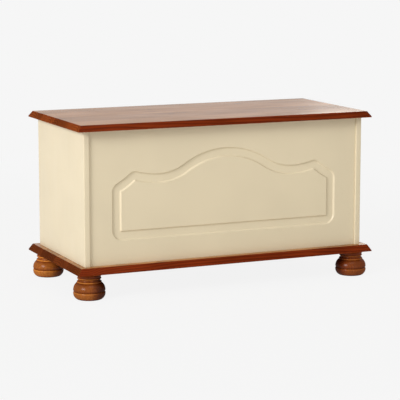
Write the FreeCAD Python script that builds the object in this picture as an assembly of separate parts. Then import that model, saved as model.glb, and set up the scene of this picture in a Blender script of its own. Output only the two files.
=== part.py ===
import FreeCAD, Part
import math
import os

# A blanket chest: a painted case of four boards on a stained pine base, four turned
# feet, and a stained pine lid on two butt hinges with a slotted stay at each end.
# Millimetres. +X runs along the chest, +Y to its back, +Z up. The origin is the
# middle of the footprint, on the floor. Every solid is written at rest, lid shut.

Vector = FreeCAD.Vector
X = Vector(1, 0, 0)
Y = Vector(0, 1, 0)
Z = Vector(0, 0, 1)
SIDES = {"left": -1, "right": 1}

# ---------------------------------------------------------------- driving dimensions

# The case of painted boards and the two stained boards that close it.
case_length = 792.0
case_depth = 352.0
case_height = 346.0
panel_thickness = 15.0
panel_arris = 2.0
front_recess = 5.0
base_overhang = 24.0
base_thickness = 18.0
lid_overhang = 20.0
lid_thickness = 16.0
bevel_inset = 9.0
bevel_land = 3.0
board_arris = 1.0
stave_count = 4

# The raised field of the front panel and the routed moulding that runs round it.
field_side_margin = 87.0
field_bottom_margin = 86.0
field_top_margin = 86.5
shoulder_drop = 73.5
shoulder_bow = -1.2
tip_inset = 38.5
tip_rise = 9.5
dip_inset = 66.0
dip_drop = 57.0
dip_radius = 150.0
field_corner_radius = 1.0
moulding_width = 25.5
moulding_wall = 3.5
moulding_depth = 4.0

# A turned foot, from the floor up: the radius it starts at, then for each turned step
# the radius it ends at, how high the step is, and how far its line bows outwards.
foot_inset = 41.5
foot_floor_radius = 33.0
foot_turning = {
    "lower bulge": (41.2, 16.5, 2.4),
    "into the notch": (38.8, 3.5, 0.5),
    "out of the notch": (41.0, 5.5, 0.9),
    "shoulder": (31.0, 17.5, 2.3),
    "lower bead": (30.2, 3.6, 1.1),
    "hollow": (29.8, 5.8, -1.9),
    "upper bead": (30.0, 2.8, 0.9),
    "quirk": (29.4, 0.8, 0.0),
    "cove": (38.5, 10.5, -2.2),
}

# Joinery inside the boards. blind_cover is the wood left past the end of a fastener.
fit = 0.05
hole_end_room = 0.5
blind_cover = 5.0
dowel_radius = 4.0
dowel_length = 30.0
dowel_chamfer = 1.0
corner_dowel_margin = 105.0
base_dowel_spacing = 220.0
cam_radius = 7.5
cam_cover = 3.0
cam_setback = 24.0
cam_margin = 50.0
cam_bolt_radius = 3.0
cam_bolt_neck_radius = 1.8
cam_bolt_neck_length = 5.0
foot_bolt_radius = 4.0
foot_bolt_in_foot = 34.0
foot_bolt_chamfer = 1.5
base_screw_grip = 32.0
base_screw_radius = 2.5
base_screw_head_radius = 4.8
base_screw_side_spacing = 150.0
base_screw_long_spacing = 225.0
screw_point = 3.0

# The butt hinges. A leaf is let into the back board's top edge, the other into the lid.
hinge_inset = 120.0
hinge_length = 60.0
hinge_leaf_margin = 2.0
hinge_leaf_thickness = 1.5
hinge_leaf_gap = 0.3
hinge_pin_radius = 1.3
hinge_barrel_radius = 2.8
hinge_barrel_clearance = 0.4
hinge_knuckle_count = 5
hinge_knuckle_gap = 0.2
hinge_screw_spacing = 20.0
hinge_screw_radius = 1.5
hinge_screw_head_radius = 2.9

# The slotted stays. The stud on the end board and the pivot on the lid are equally far
# from the hinge pin, so an arm turns by exactly half of what the lid turns.
lid_opening = 95.0
stay_reach = 150.0
stay_drop = 10.0
stay_rest_angle = 30.0
stay_arm_width = 15.0
stay_arm_thickness = 2.0
stay_arm_land = 5.0
stay_clearance = 0.3
stay_plate_length = 34.0
stay_plate_width = 14.0
stay_plate_thickness = 2.0
stay_plate_corner = 3.0
stay_collar_radius = 5.0
stay_collar_height = 1.0
stay_stud_radius = 3.0
stay_head_radius = 5.5
stay_head_height = 2.0
stay_rivet_radius = 2.5
stay_rivet_head_radius = 4.0
stay_rivet_head_height = 1.2
stay_bracket_length = 40.0
stay_bracket_flange = 20.0
stay_bracket_thickness = 2.0
stay_tab_width = 16.0
stay_screw_radius = 1.6
stay_screw_head_radius = 3.2
stay_screw_spacing = 24.0

# The two battens that keep the lid flat.
batten_inset = 146.0
batten_width = 40.0
batten_thickness = 18.0
batten_end_gap = 10.0
batten_arris = 3.0
batten_screw_count = 3
batten_screw_end = 30.0
batten_screw_radius = 2.0
batten_screw_head_radius = 4.0

# ---------------------------------------------------------------- places worked out

foot_height = sum(height for radius, height, bow in foot_turning.values())
base_length = case_length + 2 * base_overhang
base_depth = case_depth + 2 * base_overhang
lid_length = case_length + 2 * lid_overhang
lid_depth = case_depth + 2 * lid_overhang
base_top = foot_height + base_thickness
case_top = base_top + case_height
inner_x = case_length / 2 - panel_thickness
front_face = -case_depth / 2 + front_recess
front_inside = front_face + panel_thickness
back_face = case_depth / 2
back_inside = back_face - panel_thickness
end_middle = case_length / 2 - panel_thickness / 2
front_middle = (front_face + front_inside) / 2
back_middle = (back_face + back_inside) / 2

blind_in_panel = panel_thickness - blind_cover
blind_in_base = base_thickness - blind_cover
blind_in_lid = lid_thickness - blind_cover
cam_depth = panel_thickness - cam_cover
foot_x = base_length / 2 - foot_inset
foot_y = base_depth / 2 - foot_inset
batten_x = case_length / 2 - batten_inset

pin_y = back_face + hinge_barrel_radius + hinge_barrel_clearance
pin_z = case_top
leaf_front = back_inside + hinge_leaf_margin
leaf_depth = hinge_leaf_gap / 2 + hinge_leaf_thickness
hinge_x = case_length / 2 - hinge_inset

lid_arm_angle = math.asin(stay_drop / stay_reach)
stud_arm_angle = lid_arm_angle + math.radians(stay_rest_angle)
pivot_y = pin_y - stay_reach * math.cos(lid_arm_angle)
pivot_z = pin_z - stay_drop
stud_y = pin_y - stay_reach * math.cos(stud_arm_angle)
stud_z = pin_z - stay_reach * math.sin(stud_arm_angle)
shut_reach = 2 * stay_reach * math.sin(math.radians(stay_rest_angle) / 2)
open_reach = 2 * stay_reach * math.sin(math.radians(stay_rest_angle + lid_opening) / 2)
arm_outside = stay_plate_thickness + stay_collar_height + stay_clearance
arm_inside = arm_outside + stay_arm_thickness
tab_outside = arm_inside + stay_clearance
tab_inside = tab_outside + stay_bracket_thickness


# ---------------------------------------------------------------- shapes used often

def block(x0, x1, y0, y1, z0, z1):
    return Part.makeBox(x1 - x0, y1 - y0, z1 - z0, Vector(x0, y0, z0))


def turned(profile, at, direction):
    """A solid of revolution: profile lists (distance along direction, radius)."""
    points = [Vector(radius, 0, along) for along, radius in profile]
    outline = [Vector(0, 0, profile[0][0])] + points + [Vector(0, 0, profile[-1][0])]
    kept = [outline[0]]
    for point in outline[1:]:
        if point.distanceToPoint(kept[-1]) > 1e-6:
            kept.append(point)
    face = Part.Face(Part.makePolygon(kept + [kept[0]]))
    solid = face.revolve(Vector(0, 0, 0), Z, 360)
    solid.Placement = FreeCAD.Placement(at, FreeCAD.Rotation(Z, direction))
    return solid


def bowed(start, end, bow):
    """An arc from start to end, or a line where bow is 0. A bow is to the right."""
    if bow == 0:
        return Part.makeLine(start, end)
    chord = (end - start).normalize()
    middle = (start + end) * 0.5 + Vector(chord.z, 0, -chord.x) * bow
    return Part.Arc(start, middle, end).toShape()


def screw_profile(length, radius, head_radius, room=0.0):
    """A countersunk screw from its head's face, or with room the hole it sits in."""
    head = head_radius - radius
    return [
        (0, head_radius + room),
        (head, radius + room),
        (length - screw_point, radius + room),
        (length + (hole_end_room if room else 0), 0.4 * radius),
    ]


def dowel_profile(short_end, long_end, radius, chamfer, room=0.0):
    """A pin with chamfered ends that crosses a joint at distance 0."""
    extra = hole_end_room if room else 0
    return [
        (-short_end - extra, radius - chamfer + room),
        (-short_end - extra + chamfer, radius + room),
        (long_end + extra - chamfer, radius + room),
        (long_end + extra, radius - chamfer + room),
    ]


def bored(shape, *holes):
    """The shape less each hole, where a hole is a solid or a compound of solids."""
    for hole in holes:
        if shape.BoundBox.intersect(hole.BoundBox):
            shape = shape.cut(hole)
    return shape


def mirrored(shape):
    return shape.mirror(Vector(0, 0, 0), X)


def vertical_edges(shape, x=None, y=None):
    """The upright edges of a shape that stand at the given x and y."""
    found = []
    for edge in shape.Edges:
        low = edge.Vertexes[0].Point
        high = edge.Vertexes[-1].Point
        upright = abs(low.x - high.x) < 1e-6 and abs(low.y - high.y) < 1e-6
        here_x = x is None or abs(low.x - x) < 1e-6
        here_y = y is None or abs(low.y - y) < 1e-6
        if upright and here_x and here_y:
            found.append(edge)
    return found


# ---------------------------------------------------------------- the stained boards

def rectangle(length, depth, z):
    corners = [(-1, -1), (1, -1), (1, 1), (-1, 1), (-1, -1)]
    return Part.makePolygon([Vector(a * length / 2, b * depth / 2, z) for a, b in corners])


def bevelled_board(length, depth, thickness, z):
    """A board with a low upright land all round and a bevel from it to the top face."""
    land = block(-length / 2, length / 2, -depth / 2, depth / 2, z, z + bevel_land)
    low = rectangle(length, depth, z + bevel_land)
    high = rectangle(length - 2 * bevel_inset, depth - 2 * bevel_inset, z + thickness)
    board = land.fuse(Part.makeLoft([low, high], True, True)).removeSplitter()
    above = [edge for edge in board.Edges if edge.BoundBox.ZMax > z + bevel_land + 1e-6]
    return board.makeFillet(board_arris, above)


def staves(board, depth):
    """The board as the edge-glued staves it is made of, from the front to the back."""
    box = board.BoundBox
    width = depth / stave_count
    pieces = []
    for index in range(stave_count):
        near = -depth / 2 + index * width
        strip = block(box.XMin - 1, box.XMax + 1, near, near + width, box.ZMin - 1, box.ZMax + 1)
        pieces.append(board.common(strip))
    return pieces


# ---------------------------------------------------------------- the routed front

def field_outline():
    """The closed outline of the raised field, in the plane of the front face.

    From a low square foot it rises to a sloping shoulder and a pointed tip at each
    side, dips, and sweeps up to a round arch in the middle.
    """
    width = inner_x - field_side_margin
    bottom = base_top + field_bottom_margin
    apex = case_top - field_top_margin
    tip_x = width - tip_inset
    dip_x = tip_x - dip_inset
    dip_z = apex - dip_drop
    lift = dip_z + dip_radius - apex
    arch_radius = (dip_x**2 + lift**2 - dip_radius**2) / (2 * (dip_radius - lift))
    arch_centre = Vector(0, 0, apex - arch_radius)
    dip_centre = Vector(dip_x, 0, dip_z + dip_radius)
    toward_dip = (dip_centre - arch_centre).normalize()
    join = arch_centre + toward_dip * arch_radius
    rise_radius = (dip_inset**2 + tip_rise**2) / (2 * tip_rise)
    rise_centre = Vector(dip_x, 0, dip_z + rise_radius)
    foot_corner = Vector(width, 0, bottom)
    shoulder = Vector(width, 0, apex - shoulder_drop)
    tip = Vector(tip_x, 0, dip_z + tip_rise)
    dip = Vector(dip_x, 0, dip_z)
    top = Vector(0, 0, apex)

    def halfway(centre, radius, start, end):
        return centre + ((start - centre) + (end - centre)).normalize() * radius

    half = [
        Part.makeLine(Vector(0, 0, bottom), foot_corner),
        Part.makeLine(foot_corner, shoulder),
        bowed(shoulder, tip, shoulder_bow),
        Part.Arc(tip, halfway(rise_centre, rise_radius, tip, dip), dip).toShape(),
        Part.Arc(dip, halfway(dip_centre, dip_radius, dip, join), join).toShape(),
        Part.Arc(join, halfway(arch_centre, arch_radius, join, top), top).toShape(),
    ]
    return Part.Wire(Part.__sortEdges__(half + [mirrored(edge) for edge in half]))


def moulding_cutter():
    """What the router takes away: a ring with sloping walls round the raised field."""
    core = field_outline().makeOffset2D(-field_corner_radius)

    def ring_line(offset, depth):
        line = core.makeOffset2D(field_corner_radius + offset)
        line.translate(Y * (front_face + depth))
        return line

    outer = [ring_line(moulding_width, 0), ring_line(moulding_width - moulding_wall, moulding_depth)]
    inner = [ring_line(0, 0), ring_line(moulding_wall, moulding_depth)]
    return Part.makeLoft(outer, True, True).cut(Part.makeLoft(inner, True, True))


# ---------------------------------------------------------------- the feet

def foot(x, y):
    radius, height = foot_floor_radius, 0.0
    edges = [Part.makeLine(Vector(0, 0, 0), Vector(radius, 0, 0))]
    for end_radius, rise, bow in foot_turning.values():
        start = Vector(radius, 0, height)
        radius, height = end_radius, height + rise
        edges.append(bowed(start, Vector(radius, 0, height), bow))
    edges.append(Part.makeLine(Vector(radius, 0, height), Vector(0, 0, height)))
    edges.append(Part.makeLine(Vector(0, 0, height), Vector(0, 0, 0)))
    solid = Part.Face(Part.Wire(edges)).revolve(Vector(0, 0, 0), Z, 360)
    solid.translate(Vector(x, y, 0))
    return solid


# ---------------------------------------------------------------- the hinges

def knuckle_span(index):
    """Where a knuckle starts and ends along X, from the middle of its hinge."""
    pitch = hinge_length / hinge_knuckle_count
    start = -hinge_length / 2 + index * pitch
    return start + hinge_knuckle_gap / 2, start + pitch - hinge_knuckle_gap / 2


def barrel(radius, x0, x1):
    return Part.makeCylinder(radius, x1 - x0, Vector(x0, pin_y, pin_z), X)


def hinge_leaf(x, owned, low):
    """One leaf of a hinge: low for the leaf on the case, else the leaf in the lid."""
    half = hinge_length / 2
    z0 = pin_z - leaf_depth if low else pin_z + hinge_leaf_gap / 2
    leaf = block(-half, half, leaf_front, pin_y, z0, z0 + hinge_leaf_thickness)
    for index in range(hinge_knuckle_count):
        start, end = knuckle_span(index)
        if index not in owned:
            reach = hinge_barrel_radius + hinge_barrel_clearance
            leaf = leaf.cut(barrel(reach, start - hinge_knuckle_gap, end + hinge_knuckle_gap))
    for index in owned:
        leaf = leaf.fuse(barrel(hinge_barrel_radius, *knuckle_span(index)))
    leaf = leaf.cut(barrel(hinge_pin_radius + fit, -half, half))
    leaf.translate(X * x)
    return leaf.removeSplitter()


def hinge_screw_places(x, z):
    middle = (leaf_front + back_face) / 2
    return [Vector(x + step * hinge_screw_spacing, middle, z) for step in (-1, 0, 1)]


def hinge_recess(x, low):
    """The shallow cut that a leaf is let into, open at the back."""
    half = hinge_length / 2 + fit
    z0 = pin_z - leaf_depth if low else pin_z
    return block(x - half, x + half, leaf_front - fit, pin_y, z0, z0 + leaf_depth)


# ---------------------------------------------------------------- the stays

def from_end(side, distance):
    """The x of a point that lies a distance inside the face of an end board."""
    return side * (inner_x - distance)


def stay_arm(side):
    """A flat arm, round at both ends, with one long slot that slides on the stud."""
    along = Vector(0, stud_y - pivot_y, stud_z - pivot_z).normalize()
    half_slot = stay_stud_radius + stay_clearance
    slot_start = shut_reach - stay_clearance
    slot_end = open_reach + stay_clearance
    length = slot_end + half_slot + stay_arm_land - stay_arm_width / 2
    start = Vector(min(from_end(side, arm_outside), from_end(side, arm_inside)), pivot_y, pivot_z)

    def rounded_bar(low, high, radius):
        bar = Part.makeBox(stay_arm_thickness, 2 * radius, high - low, Vector(0, -radius, low))
        for end in (low, high):
            bar = bar.fuse(Part.makeCylinder(radius, stay_arm_thickness, Vector(0, 0, end), X))
        return bar.removeSplitter()

    arm = rounded_bar(0, length, stay_arm_width / 2)
    arm = arm.cut(rounded_bar(slot_start, slot_end, half_slot))
    arm = arm.cut(Part.makeCylinder(stay_rivet_radius + fit, stay_arm_thickness, Vector(0, 0, 0), X))
    arm.Placement = FreeCAD.Placement(start, FreeCAD.Rotation(Z, along))
    return arm


def stay_stud(side):
    """A screwed plate on the end board with the shouldered stud that the arm slides on."""
    at = Vector(from_end(side, 0), stud_y, stud_z)
    inwards = X * -side
    half = stay_plate_length / 2
    x0, x1 = sorted((from_end(side, 0), from_end(side, stay_plate_thickness)))
    y0, y1 = stud_y - stay_plate_width / 2, stud_y + stay_plate_width / 2
    plate = block(x0, x1, y0, y1, stud_z - half, stud_z + half)
    corners = [edge for edge in plate.Edges if abs(edge.BoundBox.XLength - stay_plate_thickness) < 1e-6]
    plate = plate.makeFillet(stay_plate_corner, corners)
    collar = stay_plate_thickness + stay_collar_height
    head = arm_inside + stay_clearance
    stud = turned(
        [
            (0, stay_collar_radius),
            (collar, stay_collar_radius),
            (collar, stay_stud_radius),
            (head, stay_stud_radius),
            (head, stay_head_radius),
            (head + stay_head_height / 2, stay_head_radius),
            (head + stay_head_height, stay_head_radius - stay_head_height / 2),
        ],
        at,
        inwards,
    )
    return plate.fuse(stud).removeSplitter()


def stud_screw_places(side):
    step = stay_screw_spacing / 2
    x = from_end(side, stay_plate_thickness)
    return [Vector(x, stud_y, stud_z + turn * step) for turn in (-1, 1)]


def stay_bracket(side):
    """An angle under the lid: a flange screwed to the lid and a tab for the pivot."""
    flange_inside = tab_outside + stay_bracket_flange
    x0, x1 = sorted((from_end(side, tab_outside), from_end(side, tab_inside)))
    flange0, flange1 = sorted((from_end(side, tab_outside), from_end(side, flange_inside)))
    top = pin_z
    half = stay_bracket_length / 2
    tab_half = stay_tab_width / 2
    flange = block(flange0, flange1, pivot_y - half, pivot_y + half, top - stay_bracket_thickness, top)
    tab = block(x0, x1, pivot_y - tab_half, pivot_y + tab_half, pivot_z, top)
    end = Part.makeCylinder(tab_half, x1 - x0, Vector(x0, pivot_y, pivot_z), X)
    hole = Part.makeCylinder(stay_rivet_radius + fit, x1 - x0, Vector(x0, pivot_y, pivot_z), X)
    return flange.fuse(tab).fuse(end).cut(hole).removeSplitter()


def stay_rivet(side):
    """The pivot rivet: a head outside the arm, a shank, and a head inside the tab."""
    at = Vector(from_end(side, 0), pivot_y, pivot_z)
    outer = arm_outside - fit
    inner = tab_inside
    rounding = stay_rivet_head_height / 2
    profile = [
        (outer - stay_rivet_head_height, stay_rivet_head_radius - rounding),
        (outer - rounding, stay_rivet_head_radius),
        (outer, stay_rivet_head_radius),
        (outer, stay_rivet_radius),
        (inner, stay_rivet_radius),
        (inner, stay_rivet_head_radius),
        (inner + rounding, stay_rivet_head_radius),
        (inner + stay_rivet_head_height, stay_rivet_head_radius - rounding),
    ]
    return turned(profile, at, X * -side)


def bracket_screw_places(side):
    x = from_end(side, tab_inside + (stay_bracket_flange - stay_bracket_thickness) / 2)
    z = pin_z - stay_bracket_thickness
    step = stay_screw_spacing / 2
    return [Vector(x, pivot_y + turn * step, z) for turn in (-1, 1)]


# ---------------------------------------------------------------- fasteners and holes

def both_ways(*values):
    return [sign * value for sign in (-1, 1) for value in values]


def corner_joints(margin):
    """Where the long boards meet the end boards, at a margin from top and bottom."""
    heights = (base_top + margin, case_top - margin)
    return [(side, y, z) for side in (-1, 1) for y in (front_middle, back_middle) for z in heights]


def corner_dowels(room=0.0):
    long_end = dowel_length - blind_in_panel
    profile = dowel_profile(blind_in_panel, long_end, dowel_radius, dowel_chamfer, room)
    return [
        turned(profile, Vector(side * inner_x, y, z), X * -side)
        for side, y, z in corner_joints(corner_dowel_margin)
    ]


def base_dowels(room=0.0):
    long_end = dowel_length - blind_in_base
    profile = dowel_profile(blind_in_base, long_end, dowel_radius, dowel_chamfer, room)
    half = base_dowel_spacing / 2
    places = [(end, y) for end in (-end_middle, end_middle) for y in (-half, half)]
    places += [(x, y) for x in (-half, half) for y in (front_middle, back_middle)]
    return [turned(profile, Vector(x, y, base_top), Z) for x, y in places]


def cam_bolts(room=0.0):
    """Steel bolts out of the end boards, each with a neck and a head inside its cam."""
    neck_start = cam_setback - cam_bolt_neck_length
    extra = hole_end_room if room else 0
    profile = [(-blind_in_panel - extra, cam_bolt_radius + room)]
    if room:
        profile += [(cam_setback + cam_bolt_radius + room, cam_bolt_radius + room)]
    else:
        profile += [
            (neck_start, cam_bolt_radius),
            (neck_start, cam_bolt_neck_radius),
            (cam_setback - cam_bolt_radius / 2, cam_bolt_neck_radius),
            (cam_setback - cam_bolt_radius / 2, cam_bolt_radius),
            (cam_setback + cam_bolt_radius, cam_bolt_radius),
        ]
    return [
        turned(profile, Vector(side * inner_x, y, z), X * -side)
        for side, y, z in corner_joints(cam_margin)
    ]


def cam_locks(room=0.0):
    """Round cams let into the inner faces of the long boards over the bolts' heads."""
    cams = []
    for side, y, z in corner_joints(cam_margin):
        inwards = 1 if y < 0 else -1
        face = front_inside if y < 0 else back_inside
        start = Vector(side * (inner_x - cam_setback), face, z)
        profile = [(0, cam_radius + room), (cam_depth + (hole_end_room if room else 0), cam_radius + room)]
        cams.append(turned(profile, start, Y * -inwards))
    return cams


def foot_bolts(room=0.0):
    """Double-ended screws that join the feet to the base."""
    profile = dowel_profile(
        foot_bolt_in_foot, blind_in_base, foot_bolt_radius, foot_bolt_chamfer, room
    )
    return [turned(profile, Vector(x, y, foot_height), Z) for x, y in foot_places.values()]


def base_screws(room=0.0):
    """Screws up through the base into the lower edges of the four boards."""
    length = base_thickness + base_screw_grip
    profile = screw_profile(length, base_screw_radius, base_screw_head_radius, room)
    half = base_screw_side_spacing / 2
    places = [(x, y) for x in (-end_middle, end_middle) for y in (-half, half)]
    long_steps = (-base_screw_long_spacing, 0, base_screw_long_spacing)
    places += [(x, y) for x in long_steps for y in (front_middle, back_middle)]
    return [turned(profile, Vector(x, y, foot_height), Z) for x, y in places]


def hinge_case_screws(room=0.0):
    profile = screw_profile(blind_in_lid, hinge_screw_radius, hinge_screw_head_radius, room)
    top = pin_z - hinge_leaf_gap / 2
    places = [place for x in both_ways(hinge_x) for place in hinge_screw_places(x, top)]
    return [turned(profile, place, -Z) for place in places]


def hinge_lid_screws(room=0.0):
    profile = screw_profile(blind_in_lid, hinge_screw_radius, hinge_screw_head_radius, room)
    low = pin_z + hinge_leaf_gap / 2
    places = [place for x in both_ways(hinge_x) for place in hinge_screw_places(x, low)]
    return [turned(profile, place, Z) for place in places]


def stay_stud_screws(room=0.0):
    length = stay_plate_thickness + blind_in_panel
    profile = screw_profile(length, stay_screw_radius, stay_screw_head_radius, room)
    return [turned(profile, place, X * side) for side in (-1, 1) for place in stud_screw_places(side)]


def stay_bracket_screws(room=0.0):
    length = stay_bracket_thickness + blind_in_lid
    profile = screw_profile(length, stay_screw_radius, stay_screw_head_radius, room)
    return [turned(profile, place, Z) for side in (-1, 1) for place in bracket_screw_places(side)]


def batten_screws(room=0.0):
    length = batten_thickness + blind_in_lid
    profile = screw_profile(length, batten_screw_radius, batten_screw_head_radius, room)
    low, high = batten_span()
    step = (high - low - 2 * batten_screw_end) / (batten_screw_count - 1)
    return [
        turned(profile, Vector(x, low + batten_screw_end + index * step, case_top - batten_thickness), Z)
        for x in both_ways(batten_x)
        for index in range(batten_screw_count)
    ]


def batten_span():
    return front_inside + batten_end_gap, back_inside - batten_end_gap


def batten(x):
    low, high = batten_span()
    half = batten_width / 2
    bar = block(x - half, x + half, low, high, case_top - batten_thickness, case_top)
    below = [edge for edge in bar.Edges if edge.BoundBox.ZMax < case_top - batten_thickness + 1e-6]
    return bar.makeChamfer(batten_arris, below)


def end_panel(side):
    """An end board of the case, with its upright front and back edges eased."""
    x0, x1 = sorted((side * inner_x, side * case_length / 2))
    half = case_depth / 2
    panel = block(x0, x1, -half, half, base_top, case_top)
    eased = vertical_edges(panel, y=-half) + vertical_edges(panel, x=side * case_length / 2, y=half)
    return panel.makeFillet(panel_arris, eased)


# ---------------------------------------------------------------- the assembly

foot_places = {
    "foot_front_left": (-foot_x, -foot_y),
    "foot_front_right": (foot_x, -foot_y),
    "foot_back_left": (-foot_x, foot_y),
    "foot_back_right": (foot_x, foot_y),
}
nodes = {}

# Fasteners first, each family one node, and the same shapes with room as the holes.
families = {
    "foot_bolts": foot_bolts,
    "base_screws": base_screws,
    "base_dowels": base_dowels,
    "corner_dowels": corner_dowels,
    "cam_bolts": cam_bolts,
    "cam_locks": cam_locks,
    "hinge_case_screws": hinge_case_screws,
    "hinge_lid_screws": hinge_lid_screws,
    "stay_stud_screws": stay_stud_screws,
    "stay_bracket_screws": stay_bracket_screws,
    "batten_screws": batten_screws,
}
holes = {name: Part.makeCompound(make(fit)) for name, make in families.items()}
for name, make in families.items():
    nodes[name] = Part.makeCompound(make())
cams = [bored(cam, holes["cam_bolts"]) for cam in cam_locks()]
nodes["cam_locks"] = Part.makeCompound(cams)

# The feet and the base.
for name, (x, y) in foot_places.items():
    nodes[name] = bored(foot(x, y), holes["foot_bolts"])
base_board = bevelled_board(base_length, base_depth, base_thickness, foot_height)
base_holes = [holes[name] for name in ("foot_bolts", "base_screws", "base_dowels")]
for index, stave in enumerate(staves(base_board, base_depth), 1):
    nodes[f"base_stave_{index}"] = bored(stave, *base_holes)

# The painted case.
joinery = [holes[name] for name in ("base_screws", "base_dowels", "corner_dowels", "cam_bolts", "cam_locks")]
for name, side in SIDES.items():
    nodes[f"side_panel_{name}"] = bored(end_panel(side), holes["stay_stud_screws"], *joinery)
front = block(-inner_x, inner_x, front_face, front_inside, base_top, case_top)
nodes["front_panel"] = bored(front, moulding_cutter(), *joinery)
back = block(-inner_x, inner_x, back_inside, back_face, base_top, case_top)
recesses = Part.makeCompound([hinge_recess(x, True) for x in both_ways(hinge_x)])
nodes["back_panel"] = bored(back, recesses, holes["hinge_case_screws"], *joinery)

# The lid, with the cuts for its hinge leaves and for the hinges' barrels.
relief = hinge_barrel_radius + hinge_barrel_clearance
lid_cuts = []
for x in both_ways(hinge_x):
    start = x - hinge_length / 2 - hinge_barrel_clearance
    end = x + hinge_length / 2 + hinge_barrel_clearance
    lid_cuts += [hinge_recess(x, False), barrel(relief, start, end)]
lid_holes = [holes[name] for name in ("hinge_lid_screws", "stay_bracket_screws", "batten_screws")]
lid_board = bevelled_board(lid_length, lid_depth, lid_thickness, case_top)
for index, stave in enumerate(staves(lid_board, lid_depth), 1):
    nodes[f"lid_stave_{index}"] = bored(stave, Part.makeCompound(lid_cuts), *lid_holes)

# Hardware and battens, one of each at the left and at the right.
case_knuckles = range(0, hinge_knuckle_count, 2)
lid_knuckles = range(1, hinge_knuckle_count, 2)
for name, side in SIDES.items():
    x = side * hinge_x
    half = hinge_length / 2
    nodes[f"hinge_case_leaf_{name}"] = bored(hinge_leaf(x, case_knuckles, True), holes["hinge_case_screws"])
    nodes[f"hinge_lid_leaf_{name}"] = bored(hinge_leaf(x, lid_knuckles, False), holes["hinge_lid_screws"])
    nodes[f"hinge_pin_{name}"] = barrel(hinge_pin_radius, x - half, x + half)
    nodes[f"stay_arm_{name}"] = stay_arm(side)
    nodes[f"stay_stud_{name}"] = bored(stay_stud(side), holes["stay_stud_screws"])
    nodes[f"stay_bracket_{name}"] = bored(stay_bracket(side), holes["stay_bracket_screws"])
    nodes[f"stay_rivet_{name}"] = stay_rivet(side)
    nodes[f"lid_batten_{name}"] = bored(batten(side * batten_x), holes["batten_screws"])

os.makedirs("parts", exist_ok=True)
for name, shape in nodes.items():
    shape.exportStep(f"parts/{name}.step")
    box = shape.BoundBox
    print(f"{name}: {len(shape.Solids)} solid(s), valid {shape.isValid()}, "
          f"{box.XLength:.1f} x {box.YLength:.1f} x {box.ZLength:.1f} mm")
print(f"hinge pin at y {pin_y:.3f}, z {pin_z:.3f}")
print(f"stay pivot at x {from_end(1, arm_outside):.3f}, y {pivot_y:.3f}, z {pivot_z:.3f}")
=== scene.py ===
# %% [markdown]
# # A painted blanket chest
# The chest is a case of four painted boards on a stained pine base, with four turned
# feet and a stained pine lid. Its construction is already settled: every board, screw
# and hinge leaf arrives as a solid at its real size. This lesson gives each of them the
# surface that a maker would leave on it. Everything is in metres, with +X along the
# chest, +Y to its back and +Z up.

# %% Load the construction
import math
import bmesh
import bpy
from mathutils import Matrix, Vector


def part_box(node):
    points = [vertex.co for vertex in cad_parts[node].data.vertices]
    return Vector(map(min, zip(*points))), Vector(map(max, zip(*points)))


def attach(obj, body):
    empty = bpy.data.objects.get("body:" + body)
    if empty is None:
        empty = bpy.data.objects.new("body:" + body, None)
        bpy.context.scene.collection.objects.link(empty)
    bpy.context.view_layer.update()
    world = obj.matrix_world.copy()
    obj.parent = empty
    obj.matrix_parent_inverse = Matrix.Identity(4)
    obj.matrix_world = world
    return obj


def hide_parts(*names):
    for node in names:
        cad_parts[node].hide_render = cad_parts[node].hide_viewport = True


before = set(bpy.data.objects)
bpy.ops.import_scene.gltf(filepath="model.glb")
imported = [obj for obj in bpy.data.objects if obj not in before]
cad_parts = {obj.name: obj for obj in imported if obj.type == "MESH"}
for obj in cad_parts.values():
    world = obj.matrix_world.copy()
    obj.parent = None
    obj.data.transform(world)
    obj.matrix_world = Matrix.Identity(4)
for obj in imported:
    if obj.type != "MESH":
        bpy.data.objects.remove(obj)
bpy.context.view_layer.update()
scene = bpy.context.scene

# %% [markdown]
# ## Looking at it
# A long lens well back keeps the long edges nearly parallel, as furniture is usually
# shown. The camera stands to the left of the front and a little above the lid, so the
# end board, the front and a thin slice of the lid's top all show. It could be placed by
# hand, but turn, tilt and distance about one aim point are easier to change.

# %% The camera
MM = 0.001
IMAGE_SIZE = 400
camera_turn = math.radians(24.11)
camera_tilt = math.radians(9.25)
camera_distance = 4.612
aim_sideways = 0.7 * MM
aim_above_base = 118.9 * MM
focal_length_in_pixels = 1701.2
sensor_width = 36.0


def new_object(name, data):
    """An object in the scene that shows this mesh or curve, or holds this lamp or camera."""
    made = bpy.data.objects.new(name, data)
    scene.collection.objects.link(made)
    return made


case_low, case_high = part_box("front_panel")
looking = Vector((
    math.sin(camera_turn) * math.cos(camera_tilt),
    math.cos(camera_turn) * math.cos(camera_tilt),
    -math.sin(camera_tilt),
))
sideways = looking.cross(Vector((0, 0, 1))).normalized()
upwards = sideways.cross(looking)
aim = Vector((0, 0, case_low.z)) + sideways * aim_sideways + upwards * aim_above_base

camera_data = bpy.data.cameras.new("camera")
camera_data.sensor_width = sensor_width
camera_data.lens = focal_length_in_pixels * sensor_width / IMAGE_SIZE
camera = new_object("camera", camera_data)
camera.location = aim - looking * camera_distance
camera.rotation_mode = "QUATERNION"
camera.rotation_quaternion = looking.to_track_quat("-Z", "Y")
scene.camera = camera
scene.view_settings.view_transform = "Standard"
print("camera at", [round(x, 3) for x in camera.location], "lens", round(camera_data.lens, 1))

# %% [markdown]
# ## Small helpers for node trees
# Materials and shape trees are both graphs of nodes. A few helpers keep their code
# short: one adds a node and wires or sets its inputs, so that a link and a plain value
# look the same to the caller. The rest are the nodes that come up all the time.

# %% Add a node
def node(tree, kind, inputs=(), **settings):
    """A new node. inputs maps a socket's name or number to a value or to a socket."""
    made = tree.nodes.new(kind)
    for name, value in settings.items():
        setattr(made, name, value)
    for key, value in dict(inputs).items():
        if isinstance(value, bpy.types.NodeSocket):
            tree.links.new(value, made.inputs[key])
        else:
            made.inputs[key].default_value = value
    return made

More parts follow.
